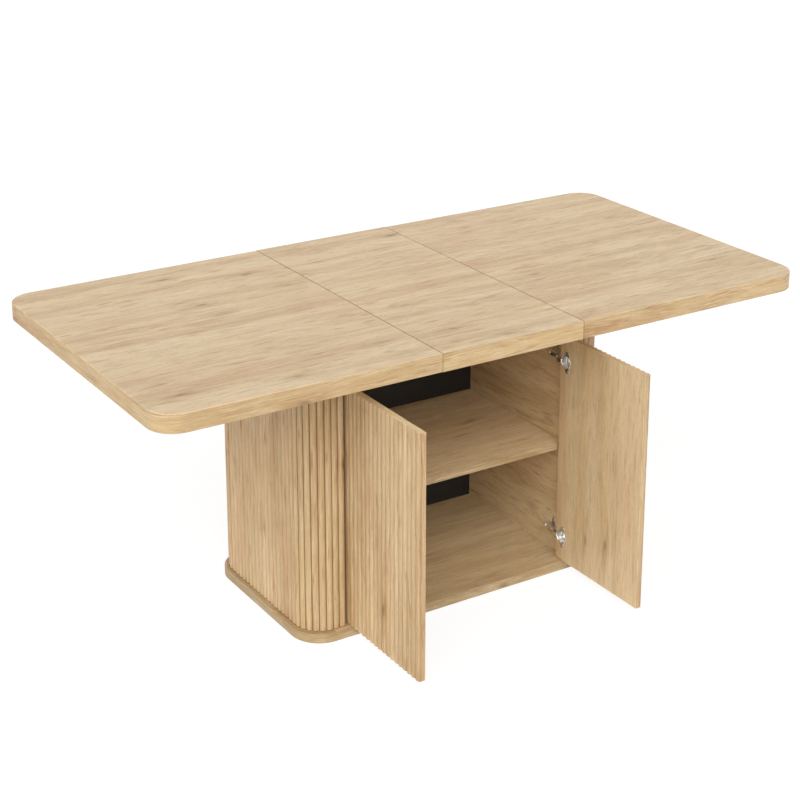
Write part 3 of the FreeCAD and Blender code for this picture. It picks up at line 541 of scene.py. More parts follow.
def spread(start, end, count):
    """Points from one place to another in even steps, without the last one."""
    return [tuple(a + (b - a) * step / count for a, b in zip(start, end)) for step in range(count)]


def pulled(outline, low, high):
    """A closed block pulled up from an outline. Its first two faces are its ends."""
    shape = bmesh.new()
    near = [shape.verts.new((x, y, low)) for x, y in outline]
    far = [shape.verts.new((x, y, high)) for x, y in outline]
    shape.faces.new(near[::-1])
    shape.faces.new(far)
    for i in range(len(outline)):
        j = (i + 1) % len(outline)
        shape.faces.new((near[i], near[j], far[j], far[i]))
    return shape


def shape_of(mesh):
    """A copy of a mesh that can be edited."""
    shape = bmesh.new()
    shape.from_mesh(mesh)
    return shape


def new_piece(name, mesh, *materials):
    """A piece in the scene. Its mesh can be a shape, which is used up."""
    if isinstance(mesh, bmesh.types.BMesh):
        shape, mesh = mesh, bpy.data.meshes.new(name)
        shape.to_mesh(mesh)
        shape.free()
    for material in materials:
        mesh.materials.append(material)
    piece = bpy.data.objects.new(name, mesh)
    bpy.context.collection.objects.link(piece)
    return piece


def settle(piece):
    """Turns a piece and its modifiers into a plain mesh."""
    graph = bpy.context.evaluated_depsgraph_get()
    mesh = bpy.data.meshes.new_from_object(piece.evaluated_get(graph))
    piece.modifiers.clear()
    piece.data = mesh


def shade(piece):
    """Smooth faces, with a crease wherever two faces meet at a clear angle.

    The normals lean towards the larger face, so a wide face stays flat up to its eased edge.
    """
    piece.data.shade_smooth()
    piece.data.set_sharp_from_angle(angle=SHARP_ANGLE)
    weighted = piece.modifiers.new("even shading", "WEIGHTED_NORMAL")
    weighted.keep_sharp = True
    settle(piece)


def work_with(piece, tool, operation="DIFFERENCE"):
    """Cuts a piece with another one, or joins it, and then does away with the other one.

    Corner points that fall together are merged, so the shell stays closed.
    """
    step = piece.modifiers.new("solid work", "BOOLEAN")
    step.operation = operation
    step.solver = "EXACT"
    step.material_mode = "TRANSFER"
    step.object = tool
    settle(piece)
    bpy.data.objects.remove(tool)
    shape = shape_of(piece.data)
    bmesh.ops.remove_doubles(shape, verts=shape.verts, dist=MERGE)
    shape.to_mesh(piece.data)
    shape.free()


def open_edges(piece):
    """How many edges don't join exactly two faces. A closed shell has none."""
    shape = shape_of(piece.data)
    count = sum(1 for edge in shape.edges if len(edge.link_faces) != 2)
    shape.free()
    return count


def take_over(piece, node, body):
    """The piece takes the place of one part of the frame and moves with its body."""
    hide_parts(node)
    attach(piece, body)
    print(piece.name, "faces", len(piece.data.polygons), "open edges", open_edges(piece))


print("points of a quarter turn:", len(arc((0, 0), 1, 0, 90, CORNER_STEPS)))

# %% [markdown]
# ## Boards of the top
#
# A table top board is a slab with round corners and soft edges. The quickest sound way is to draw
# its outline once, pull it up into a slab, and let a Bevel modifier round the edges. Each edge
# carries a weight, so the outer edge gets its full 4 mm, the under edge half of that, and the edge
# at the seam only a hint. A UV map then lays the print: flat on the faces, and running round the
# rim as an edge band does.

# %% Helpers for boards
BEVEL_STEPS = 5
CORNER_FOLD = math.radians(30)
BAND_SHIFT = 3.0


def slab(name, outline, low, high, top_round, under_round, seam=None, seam_round=0.0):
    """A board from its outline, with rounded edges. The seam is a place along X, or None."""
    shape = pulled(outline, low, high)
    weights = shape.edges.layers.float.new("bevel_weight_edge")
    for edge in shape.edges:
        first, second = [v.co for v in edge.verts]
        at_seam = seam is not None and all(abs(abs(p.x) - seam) < MM / 10 for p in (first, second))
        if abs(first.z - second.z) > MM:
            edge.smooth = edge.calc_face_angle() < CORNER_FOLD
        elif first.z > (low + high) / 2:
            edge[weights] = seam_round / top_round if at_seam else 1.0
        elif at_seam:
            edge.smooth = False
        else:
            edge[weights] = under_round / top_round
    for face in shape.faces:
        face.smooth = True
    piece = new_piece(name, shape)
    bevel = piece.modifiers.new("eased edges", "BEVEL")
    bevel.limit_method = "WEIGHT"
    bevel.width = top_round
    bevel.segments = BEVEL_STEPS
    settle(piece)
    shade(piece)
    return piece


def lay_print(piece, rim, shift, seam=None, least=0.0):
    """UV map in metres, with the grain along U. The rim gives the way round for the edge band.

    Flat faces get the first material, the rim the second one, and the faces in a seam the third.
    A flat face of less than the least area belongs to the rim.
    """
    mesh = piece.data
    layer = mesh.uv_layers.new(name="grain")
    for face in mesh.polygons:
        flat = abs(face.normal.z) > FACE_UPRIGHT and face.area > least
        near_seam = seam is not None and abs(abs(face.center.x) - seam) < SEAM_ROUND
        in_seam = near_seam and abs(face.normal.x) > 0.5
        face.material_index = 2 if in_seam else 0 if flat else 1
        for loop in face.loop_indices:
            x, y, z = mesh.vertices[mesh.loops[loop].vertex_index].co
            if flat:
                layer.data[loop].uv = (x + shift[0], y + shift[1])
            elif in_seam:
                layer.data[loop].uv = (y + shift[0], z + shift[1] + BAND_SHIFT)
            else:
                way, inward = rim(x, y)
                up = z + math.copysign(inward, face.normal.z)
                layer.data[loop].uv = (way, up + shift[1] + BAND_SHIFT)


def rim_of(half_x, half_y, radius):
    """A function for the way round the rim, from the middle of its front, and the way in from it."""
    straight_x = half_x - radius
    straight_y = half_y - radius
    quarter = radius * math.pi / 2

    def rim(x, y):
        side = 1 if x >= 0 else -1
        across = abs(x) - straight_x
        along = abs(y) - straight_y
        inward = radius - math.hypot(max(across, 0.0), max(along, 0.0))
        if across <= 0:
            way = abs(x) if y < 0 else 2 * (straight_x + quarter + straight_y) - abs(x)
        elif along <= 0:
            way = straight_x + quarter + straight_y + y
        else:
            turn = math.atan2(across, along) * radius
            way = straight_x + turn if y < 0 else straight_x + 2 * (quarter + straight_y) - turn
        return side * way, inward

    return rim


# %% Make the three boards of the top
TOP_CORNER = 67 * MM
TOP_ROUND = 4 * MM
UNDER_ROUND = 2 * MM
SEAM_ROUND = 0.5 * MM

end_low, end_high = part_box("right_end_top")
leaf_low, leaf_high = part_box("centre_leaf")
top_rim = rim_of(end_high.x, end_high.y, TOP_CORNER)
straight_x, straight_y = end_high.x - TOP_CORNER, end_high.y - TOP_CORNER
right_outline = [(end_low.x, -end_high.y)]
right_outline += arc((straight_x, -straight_y), TOP_CORNER, -90, 0, CORNER_STEPS)
right_outline += arc((straight_x, straight_y), TOP_CORNER, 0, 90, CORNER_STEPS) + [(end_low.x, end_high.y)]
left_outline = [(-x, y) for x, y in right_outline[::-1]]
half_x, half_y = leaf_high.x, leaf_high.y
leaf_outline = [(-half_x, -half_y), (half_x, -half_y), (half_x, half_y), (-half_x, half_y)]
top_boards = [
    ("right_top_board", right_outline, end_low.x, (-4.1, -2.7), "right_end_top", "right_end"),
    ("left_top_board", left_outline, end_low.x, (5.3, 1.9), "left_end_top", "left_end"),
    ("centre_leaf_board", leaf_outline, half_x, (0.0, 0.0), "centre_leaf", "lifting_leaf"),
]
for name, outline, seam, shift, node, body in top_boards:
    board = slab(name, outline, end_low.z, end_high.z, TOP_ROUND, UNDER_ROUND, seam, SEAM_ROUND)
    for material in (oak_top, oak_rim, oak_seam):
        board.data.materials.append(material)
    lay_print(board, top_rim, shift, seam)
    take_over(board, node, body)

# %% [markdown]
# ## Solid shapes in millimetres
#
# Small parts have many sizes, so their shapes are drawn in millimetres and scaled once at the end.
# Three shapes are enough: an outline with rounded corners, a prism pulled from it with eased edges,
# and a turned body. Boolean modifiers then join and cut them. Two more helpers read the parts of
# the frame: one joins up a part's triangles, the other finds its separate bodies.

# %% Helpers for small solids
ALONG_X = Matrix(((0, 0, 1, 0), (1, 0, 0, 0), (0, 1, 0, 0), (0, 0, 0, 1)))
UPRIGHT = Matrix.Identity(4)
ROUND_STEPS = 5
TURN_STEPS = 48
SEAT_GAP = 0.1


def rounded(corners, radii):
    """Rounds each corner of an outline with its own radius."""
    outline = []
    for i, radius in enumerate(radii):
        here = Vector(corners[i])
        if not radius:
            outline.append(tuple(here))
            continue
        back = (Vector(corners[i - 1]) - here).normalized()
        ahead = (Vector(corners[(i + 1) % len(corners)]) - here).normalized()
        half = back.angle(ahead) / 2
        centre = here + (back + ahead).normalized() * radius / math.sin(half)
        start = here + back * radius / math.tan(half) - centre
        end = here + ahead * radius / math.tan(half) - centre
        first = math.atan2(start.y, start.x)
        sweep = (math.atan2(end.y, end.x) - first + math.pi) % math.tau - math.pi
        for step in range(ROUND_STEPS + 1):
            angle = first + sweep * step / ROUND_STEPS
            outline.append((centre.x + radius * math.cos(angle), centre.y + radius * math.sin(angle)))
    return outline


def rounded_bar(low, high, half, radius):
    """A rounded rectangle from low to high along the first axis, and half to each side of it."""
    return rounded([(low, -half), (high, -half), (high, half), (low, half)], [radius] * 4)


def finished(name, shape, place, material):
    """Turns a shape in millimetres into a piece in metres, with its faces outward."""
    bmesh.ops.recalc_face_normals(shape, faces=shape.faces)
    shape.transform(Matrix.Scale(MM, 4) @ place)
    return new_piece(name, shape, material)


def ease_edges(shape, edges, width):
    """Gives some edges of a shape a small two-step bevel."""
    bmesh.ops.bevel(shape, geom=edges, offset=width, offset_type="OFFSET", segments=2, profile=0.5,
                    affect="EDGES", clamp_overlap=True)


def prism(outline, low, high, place, ease=0.0, material=nickel):
    """A closed block pulled from an outline, with its two rims eased."""
    shape = pulled(outline, low, high)
    if ease:
        shape.faces.ensure_lookup_table()
        ease_edges(shape, list({edge for cap in shape.faces[:2] for edge in cap.edges}), ease)
    return finished("prism", shape, place, material)


def turned_body(profile, place, material=nickel):
    """A round closed body. The profile lists radii and heights and starts and ends on the axis."""
    shape = bmesh.new()
    rings = []
    angles = [math.tau * step / TURN_STEPS for step in range(TURN_STEPS)]
    for radius, height in profile:
        if radius:
            places = [(radius * math.cos(a), radius * math.sin(a), height) for a in angles]
            rings.append([shape.verts.new(place) for place in places])
        else:
            rings.append([shape.verts.new((0, 0, height))] * TURN_STEPS)
    for lower, upper in zip(rings, rings[1:]):
        for i in range(TURN_STEPS):
            j = (i + 1) % TURN_STEPS
            shape.faces.new(list(dict.fromkeys((lower[i], lower[j], upper[j], upper[i]))))
    return finished("turned", shape, place, material)


def rod(radius, low, high, place, material=nickel):
    """A plain round rod."""
    return turned_body([(0, low), (radius, low), (radius, high), (0, high)], place, material)


def at(x, y, z, way=UPRIGHT):
    """A place in millimetres for a shape that stands upright or lies along X."""
    return Matrix.Translation((x, y, z)) @ way


def joined(name, pieces):
    """Puts the meshes of several pieces into one piece."""
    shape = bmesh.new()
    for piece in pieces:
        shape.from_mesh(piece.data)
    materials = list(pieces[0].data.materials)
    for piece in pieces:
        bpy.data.objects.remove(piece)
    return new_piece(name, shape, *materials)


def mirrored_copy(name, piece):
    """The same piece for the other side of the table."""
    shape = shape_of(piece.data)
    shape.transform(Matrix.Scale(-1, 4, (1, 0, 0)))
    bmesh.ops.reverse_faces(shape, faces=shape.faces)
    copy = new_piece(name, shape, *piece.data.materials)
    if "reed" in copy.data.attributes:
        for mark in copy.data.attributes["reed"].data:
            mark.vector[0] *= -1
    return copy


def merged_copy(node):
    """The mesh of one of the frame's parts, in world places, with its triangles joined up."""
    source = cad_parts[node]
    shape = shape_of(source.data)
    shape.transform(source.matrix_world)
    bmesh.ops.remove_doubles(shape, verts=shape.verts, dist=MERGE)
    return shape


def islands(node):
    """The corner points of each separate body in one of the frame's parts."""
    shape = merged_copy(node)
    left = set(shape.verts)
    found = []
    while left:
        queue = [left.pop()]
        body = []
        while queue:
            vert = queue.pop()
            body.append(vert.co.copy())
            for edge in vert.link_edges:
                other = edge.other_vert(vert)
                if other in left:
                    left.discard(other)
                    queue.append(other)
        found.append(body)
    shape.free()
    return found


print("corner points of a rounded square:", len(rounded_bar(0, 9, 4.5, 2)))

# %% [markdown]
# ## Plinth and top plate
#
# The cabinet stands between two like boards with round corners. The plinth shows all round as a
# small step under the reeds, and its darker edge band is wrapped over that step at the sides and
# round the corners; there the band's dark tone also paints the shade that the table top casts on the
# step. In the doorway the floor keeps its own print up to the rim. The lower face has shallow seats
# for the felt pads.

# %% Make the plinth and the top plate
PLATE_CORNER = 80 * MM
PLATE_ROUND = 2 * MM
STEP_WIDTH = 11 * MM
WIDE_FACE = 6000 * MM * MM
PAD_RADIUS = 15.0


def part_step(piece, width):
    """Parts a strip along the edge of the widest upper face, so the edge band can lie on it; its darker tone
    there also paints the shade under the table top.
    """
    shape = shape_of(piece.data)
    upward = [face for face in shape.faces if face.normal.z > FACE_UPRIGHT]
    widest = max(upward, key=lambda face: face.calc_area())
    bmesh.ops.inset_region(shape, faces=[widest], thickness=width)
    shape.to_mesh(piece.data)
    shape.free()


def plate(name, node):
    """A board of the cabinet's outline, with its print and its edge band."""
    low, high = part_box(node)
    x, y = high.x - PLATE_CORNER, high.y - PLATE_CORNER
    outline = []
    for quarter, centre in enumerate(((x, y), (-x, y), (-x, -y), (x, -y))):
        outline += arc(centre, PLATE_CORNER, 90 * quarter, 90 * quarter + 90, CORNER_STEPS)
    piece = slab(name, outline, low.z, high.z, PLATE_ROUND, PLATE_ROUND / 2)
    part_step(piece, STEP_WIDTH)
    piece.data.materials.append(oak_board)
    piece.data.materials.append(oak_band)
    lay_print(piece, rim_of(high.x, high.y, PLATE_CORNER), (low.z, high.z), least=WIDE_FACE)
    shade(piece)
    return piece


plinth = plate("plinth_board", "plinth")
for pad in islands("floor_pads"):
    middle = sum(pad, Vector()) / len(pad) / MM
    seat_high = max(p.z for p in pad) / MM
    work_with(plinth, rod(PAD_RADIUS + SEAT_GAP, -1, seat_high, at(middle.x, middle.y, 0), fibreboard))
shade(plinth)
take_over(plinth, "plinth", "cabinet")
take_over(plate("top_plate_board", "top_plate"), "top_plate", "cabinet")

# %% [markdown]
# ## Reeds by Geometry Nodes
#
# The cabinet's ends, its back and the doors have upright half-round reeds. They follow a rule: the
# outline of the panel is a chain of straight pieces, and each piece that is marked with a crown
# height carries one reed. So the tree below puts an arc on every marked edge, joins the arcs with
# the plain edges, fills the outline and pulls it up. A tone that is drawn once for each reed lets
# the print change from reed to reed, as it does where strips are cut from different sheets.

# %% Helpers for trees
def tree_inputs(tree, **inputs):
    """Names a tree's inputs and gives their sockets."""
    for name, kind in inputs.items():
        socket_name = name.replace("_", " ").title()
        tree.interface.new_socket(socket_name, in_out="INPUT", socket_type="NodeSocket" + kind)
    tree.interface.new_socket("Geometry", in_out="OUTPUT", socket_type="NodeSocketGeometry")
    return add(tree, "NodeGroupInput").outputs


def creased(tree, geometry):
    """Smooth faces, with a crease at every clear fold."""
    smooth = add(tree, "GeometryNodeSetShadeSmooth", {"Geometry": geometry, "Shade Smooth": True})
    fold = add(tree, "GeometryNodeInputMeshEdgeAngle")
    sharp = add(tree, "FunctionNodeCompare", fold, SHARP_ANGLE, operation="GREATER_THAN")
    return add(tree, "GeometryNodeSetShadeSmooth", {
        "Geometry": smooth, "Selection": sharp, "Shade Smooth": False}, domain="EDGE")


def grow(piece, tree, values, used):
    """Runs a tree on a piece, keeps the plain mesh, and takes off the marks that the tree used.

    A modifier's inputs are set by the identifiers of their sockets.
    """
    modifier = piece.modifiers.new(tree.name, "NODES")
    modifier.node_group = tree
    for item in tree.interface.items_tree:
        if item.in_out == "INPUT" and item.name in values:
            modifier[item.identifier] = values[item.name]
    settle(piece)
    for name in used:
        if name in piece.data.attributes:
            piece.data.attributes.remove(piece.data.attributes[name])


# %% Build the reed tree
REED_PITCH = 18.65 * MM
REED_CROWN = 4 * MM
REED_FACETS = 14

reeds = bpy.data.node_groups.new("reeded panel", "GeometryNodeTree")
given = tree_inputs(reeds, geometry="Geometry", pitch="Float", crown="Float", facets="Int", height="Float",
                    seed="Int", face="Material", ends="Material")
crown = add(reeds, "GeometryNodeInputNamedAttribute", "crown")
marked = add(reeds, "FunctionNodeCompare", crown, MERGE, operation="GREATER_THAN")
ends = add(reeds, "GeometryNodeInputMeshEdgeVertices").outputs
along = add(reeds, "ShaderNodeVectorMath", ends["Position 2"], ends["Position 1"], operation="SUBTRACT")
kept = add(reeds, "GeometryNodeStoreNamedAttribute", {
    "Geometry": given["Geometry"], "Name": "along", "Value": along}, data_type="FLOAT_VECTOR", domain="EDGE")
split = add(reeds, "GeometryNodeSeparateGeometry", kept, marked, domain="EDGE")
spots = add(reeds, "GeometryNodeMeshToPoints", split, mode="EDGES")

minus_half = add(reeds, "ShaderNodeMath", given["Pitch"], -0.5, operation="MULTIPLY")
plus_half = add(reeds, "ShaderNodeMath", given["Pitch"], 0.5, operation="MULTIPLY")
outward = add(reeds, "ShaderNodeMath", given["Crown"], -1.0, operation="MULTIPLY")
start = add(reeds, "ShaderNodeCombineXYZ", minus_half)
middle = add(reeds, "ShaderNodeCombineXYZ", 0.0, outward)
end = add(reeds, "ShaderNodeCombineXYZ", plus_half)
round_arc = add(reeds, "GeometryNodeCurveArc", given["Facets"], start, middle, end, mode="POINTS")
arc_mesh = add(reeds, "GeometryNodeCurveToMesh", round_arc)

way = add(reeds, "GeometryNodeInputNamedAttribute", "along", data_type="FLOAT_VECTOR")
way_parts = add(reeds, "ShaderNodeSeparateXYZ", way).outputs
angle = add(reeds, "ShaderNodeMath", way_parts["Y"], way_parts["X"], operation="ARCTAN2")
turn = add(reeds, "ShaderNodeCombineXYZ", 0.0, 0.0, angle)
length = add(reeds, "ShaderNodeVectorMath", way, operation="LENGTH")
stretch = add(reeds, "ShaderNodeMath", length, given["Pitch"], operation="DIVIDE")
rise = add(reeds, "ShaderNodeMath", crown, given["Crown"], operation="DIVIDE")
size = add(reeds, "ShaderNodeCombineXYZ", stretch, rise, 1.0)
placed = add(reeds, "GeometryNodeInstanceOnPoints", {
    "Points": spots, "Instance": arc_mesh, "Rotation": turn, "Scale": size})
real_arcs = add(reeds, "GeometryNodeRealizeInstances", placed)

chain = add(reeds, "GeometryNodeJoinGeometry", [real_arcs, split.outputs["Inverted"]])
closed = add(reeds, "GeometryNodeMergeByDistance", {"Geometry": chain, "Distance": MERGE})
ring = add(reeds, "GeometryNodeMeshToCurve", closed)
filled = add(reeds, "GeometryNodeFillCurve", ring, mode="NGONS")
lift = add(reeds, "ShaderNodeCombineXYZ", 0.0, 0.0, given["Height"])
raised = add(reeds, "GeometryNodeExtrudeMesh", {
    "Mesh": filled, "Offset": lift, "Offset Scale": 1.0, "Individual": False}, mode="FACES")
under_face = add(reeds, "GeometryNodeFlipFaces", filled)
shell = add(reeds, "GeometryNodeJoinGeometry", [raised, under_face])
solid = add(reeds, "GeometryNodeMergeByDistance", {"Geometry": shell, "Distance": MERGE})
print("nodes up to the plain shell:", len(reeds.nodes))

# %% Finish the reed tree with tones, shading and materials
spot = add(reeds, "GeometryNodeInputPosition")
spot_parts = add(reeds, "ShaderNodeSeparateXYZ", spot).outputs
level_place = add(reeds, "ShaderNodeCombineXYZ", spot_parts["X"], spot_parts["Y"])
flat_spots = add(reeds, "GeometryNodeTransform", {"Geometry": spots, "Scale": (1, 1, 0)})
nearest = add(reeds, "GeometryNodeSampleNearest", flat_spots, level_place, domain="POINT")
chance = add(reeds, "FunctionNodeRandomValue", {"ID": nearest, "Seed": given["Seed"]}, data_type="FLOAT")
toned = add(reeds, "GeometryNodeStoreNamedAttribute", {
    "Geometry": solid, "Name": "tone", "Value": chance}, data_type="FLOAT", domain="FACE")
reed_place = add(reeds, "GeometryNodeSampleIndex", flat_spots, spot, nearest, data_type="FLOAT_VECTOR",
                 domain="POINT")
reed_length = add(reeds, "GeometryNodeSampleIndex", flat_spots, length, nearest, data_type="FLOAT",
                  domain="POINT")
half_length = add(reeds, "ShaderNodeMath", reed_length, 0.5, operation="MULTIPLY")
reed_parts = add(reeds, "ShaderNodeSeparateXYZ", reed_place).outputs
reed_mark = add(reeds, "ShaderNodeCombineXYZ", reed_parts["X"], reed_parts["Y"], half_length)
centred = add(reeds, "GeometryNodeStoreNamedAttribute", {
    "Geometry": toned, "Name": "reed", "Value": reed_mark}, data_type="FLOAT_VECTOR", domain="FACE")
whole = add(reeds, "GeometryNodeRealizeInstances", creased(reeds, centred))
faced = add(reeds, "GeometryNodeSetMaterial", {"Geometry": whole, "Material": given["Face"]})
normal_parts = add(reeds, "ShaderNodeSeparateXYZ", add(reeds, "GeometryNodeInputNormal")).outputs
steep = add(reeds, "ShaderNodeMath", normal_parts["Z"], operation="ABSOLUTE")
level_face = add(reeds, "FunctionNodeCompare", steep, FACE_UPRIGHT, operation="GREATER_THAN")
dressed = add(reeds, "GeometryNodeSetMaterial", {
    "Geometry": faced, "Selection": level_face, "Material": given["Ends"]})
add(reeds, "NodeGroupOutput", dressed)
print("nodes in the reed tree:", len(reeds.nodes))

# %% [markdown]
# ## Outlines of the reeded panels
#
# An outline is a list of corners and one crown height for each stretch between them: 4 mm for a
# reed on a flat face, a little more where the face turns, because there the crown stands on a
# slanting chord, and nothing where the outline is plain.

# %% Make the reeded ends
CORNER_REEDS = 6
RETURN_REEDS = 2
SIDE_REEDS = 18
SHELL_THICK = 14 * MM
CABINET_CORNER = 70 * MM

shell_low, shell_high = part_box("right_reeded_end")
valley_x, valley_y = shell_high.x - REED_CROWN, shell_high.y - REED_CROWN
turn_x, turn_y = shell_high.x - CABINET_CORNER, shell_high.y - CABINET_CORNER
valley_radius = CABINET_CORNER - REED_CROWN
inner_radius = valley_radius - SHELL_THICK
corner_crown = CABINET_CORNER - valley_radius * math.cos(math.radians(45 / CORNER_REEDS))


def reeded(name, points, crowns, box, seed, end_material, stands=True):
    """A reeded panel from its outline, as a plain closed mesh. It stands on a board, or hangs free."""
    low, high = box[0].z, box[1].z
    mesh = bpy.data.meshes.new(name)
    count = len(points)
    mesh.from_pydata([(x, y, 0.0) for x, y in points], [(i, (i + 1) % count) for i in range(count)], [])
    mesh.attributes.new("crown", "FLOAT", "EDGE").data.foreach_set("value", crowns)
    piece = new_piece(name, mesh)
    grow(piece, reeds, {
        "Pitch": REED_PITCH, "Crown": REED_CROWN, "Facets": REED_FACETS, "Height": high - low, "Seed": seed,
        "Face": oak_upright, "Ends": end_material}, ("crown", "along"))
    piece.data.transform(Matrix.Translation((0, 0, low)))
    # The foot height places the painted shadow line; a door hangs free, so its line falls below it.
    foot = piece.data.attributes.new("foot", "FLOAT", "FACE")
    foot.data.foreach_set("value", [low if stands else low - 1] * len(piece.data.polygons))
    return piece


def end_outline():
    """Outline of the right end, anticlockwise from the front door opening."""
    x0 = shell_low.x
    points = spread((x0, -valley_y), (turn_x, -valley_y), RETURN_REEDS)
    points += arc((turn_x, -turn_y), valley_radius, -90, 0, CORNER_REEDS)[:-1]
    points += spread((valley_x, -turn_y), (valley_x, turn_y), SIDE_REEDS)
    points += arc((turn_x, turn_y), valley_radius, 0, 90, CORNER_REEDS)[:-1]
    points += spread((turn_x, valley_y), (x0, valley_y), RETURN_REEDS)
    crowns = [REED_CROWN] * RETURN_REEDS + [corner_crown] * CORNER_REEDS + [REED_CROWN] * SIDE_REEDS
    crowns += [corner_crown] * CORNER_REEDS + [REED_CROWN] * RETURN_REEDS
    inner = [(x0, valley_y), (x0, valley_y - SHELL_THICK)]
    inner += arc((turn_x, turn_y), inner_radius, 90, 0, CORNER_STEPS)[:-1] + [(turn_x + inner_radius, turn_y)]
    inner += arc((turn_x, -turn_y), inner_radius, 0, -90, CORNER_STEPS)[:-1]
    inner += [(turn_x, SHELL_THICK - valley_y), (x0, SHELL_THICK - valley_y)]
    return points + inner, crowns + [0.0] * len(inner)


points, crowns = end_outline()
mirrored = [(-x, y) for x, y in points]
flipped = mirrored[:1] + mirrored[:0:-1]
for side, outline, heights in (("right", points, crowns), ("left", flipped, crowns[::-1])):
    panel = reeded(side + "_reeds", outline, heights, (shell_low, shell_high), 3, oak_along)
    take_over(panel, side + "_reeded_end", "cabinet")

# %% Make the reeded back
rear_low, rear_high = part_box("reeded_rear_panel")
rear_reeds = round((rear_high.x - rear_low.x) / REED_PITCH)
rear_valley = rear_high.y - REED_CROWN
rear_points = spread((rear_high.x, rear_valley), (rear_low.x, rear_valley), rear_reeds)
rear_points += [(rear_low.x, rear_valley), (rear_low.x, rear_low.y), (rear_high.x, rear_low.y)]
rear_crowns = [REED_CROWN] * rear_reeds + [0.0] * 3
rear = reeded("rear_reeds", rear_points, rear_crowns, (rear_low, rear_high), 5, oak_along)
take_over(rear, "reeded_rear_panel", "cabinet")
print("reeds across the back:", rear_reeds)

# %% [markdown]
# ## Places of the hinges
#
# All places come from the boxes of the frame's parts, so the detailed hinges sit exactly where the
# plain ones were. The right side is drawn, and the left side is its mirror image.

# %% Read the hinge places
WING_HALF = 29.0
CUP_RADIUS = 17.5
CUP_DEEP = 13.5
SCREW_TO_LUG = 3.5


def box_in_mm(node):
    """The two far corners of one of the frame's parts, in millimetres."""
    return [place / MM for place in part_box(node)]


door_low, door_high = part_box("right_door")
cups_low, cups_high = box_in_mm("right_hinge_cups")
pins_low, pins_high = box_in_mm("right_hinge_pins")
arms_low, arms_high = box_in_mm("right_hinge_arms")
plates_low, plates_high = box_in_mm("right_hinge_plates")
face_x = door_low.x / MM
pin_x, pin_y = (pins_low.x + pins_high.x) / 2, (pins_low.y + pins_high.y) / 2
cup_y = (cups_low.y + cups_high.y) / 2
lug_y = box_in_mm("hinge_plate_screws")[0].y + SCREW_TO_LUG
hinge_heights = (cups_low.z + WING_HALF, cups_high.z - WING_HALF)
print("hinge heights in mm:", [round(z, 1) for z in hinge_heights], "pin", round(pin_x, 1), round(pin_y, 1))

# %% [markdown]
# ## Doors
#
# A door is one board: reeds on its outer face, plain laminate inside, with a bored seat for each
# hinge cup. It stands open at a right angle in the frame, so its reeds face away from the cabinet.
# The reed tree makes the board, and Boolean modifiers bore the seats of the cups and their pins.
# The last reed before the hinges ends on a land of 3.4 mm instead of in a groove, so the eye
# doesn't look through the slit beside an open door into the cabinet.

# %% Make the doors
DOOR_REEDS = 18
DOOR_EASE = 1 * MM
EASE_STEPS = 4
LAND = 3.4 * MM
LAND_CROWN = 1.85 * MM
KNUCKLE_RADIUS = 4.2
KNUCKLE_HALF = 9.5

outer = door_high.x - REED_CROWN


def door_outline():
    """Outline of the right door, anticlockwise from the free edge of its outer face."""
    points = spread((outer, door_low.y), (outer, door_high.y), DOOR_REEDS)
    crowns = [REED_CROWN] * (DOOR_REEDS - 1) + [LAND_CROWN]
    x = door_low.x + DOOR_EASE
    inner = [(outer + LAND, door_high.y)]
    inner += arc((x, door_high.y - DOOR_EASE), DOOR_EASE, 90, 180, EASE_STEPS)[:-1]
    inner += [(door_low.x, door_high.y - DOOR_EASE)]
    inner += arc((x, door_low.y + DOOR_EASE), DOOR_EASE, 180, 270, EASE_STEPS)[:-1]
    inner += [(x, door_low.y)]
    return points + inner, crowns + [0.0] * len(inner)


points, crowns = door_outline()
door = reeded("right_door_panel", points, crowns, (door_low, door_high), 12, oak_across, stands=False)
reach = KNUCKLE_HALF + SEAT_GAP
for z in hinge_heights:
    seat = at(0, cup_y, z, ALONG_X)
    work_with(door, rod(CUP_RADIUS + SEAT_GAP, face_x - 1, face_x + CUP_DEEP + SEAT_GAP, seat, fibreboard))
    work_with(door, rod(KNUCKLE_RADIUS + SEAT_GAP, -reach, reach, at(pin_x, pin_y, z), fibreboard))
door.data.materials.append(oak_inner)
for polygon in door.data.polygons:
    if polygon.normal.x < -0.5 and polygon.center.x < door_low.x + DOOR_EASE / 2:
        polygon.material_index = len(door.data.materials) - 1
for side, panel in (("left", mirrored_copy("left_door_panel", door)), ("right", door)):
    shade(panel)
    take_over(panel, side + "_door", side + "_door_panel")

# %% [markdown]
# ## Hinge cups
#
# A hinge cup is pressed from one sheet: a round cup with a rolled rim, two flat wings for the
# screws, and a deeper seat whose cheeks hold the pin. It is built as a solid plug, a plate and a
# knuckle that are joined, then hollowed by a slightly smaller turned body.

# %% Make the hinge cups
CUP_WALL = 0.9
RIM_RADIUS = 18.5
RIM_THICK = 0.8
WING_THICK = 1.2
WING_WIDTH = 14.0
WING_FROM_EDGE = 21.0
WING_CORNER = 5.0
WING_EASE = 0.35
POCKET_RADIUS = 3.4
POCKET_HALF = 5.5
CHEEK_RADIUS = 3.6
CHEEK_LAP = 0.2

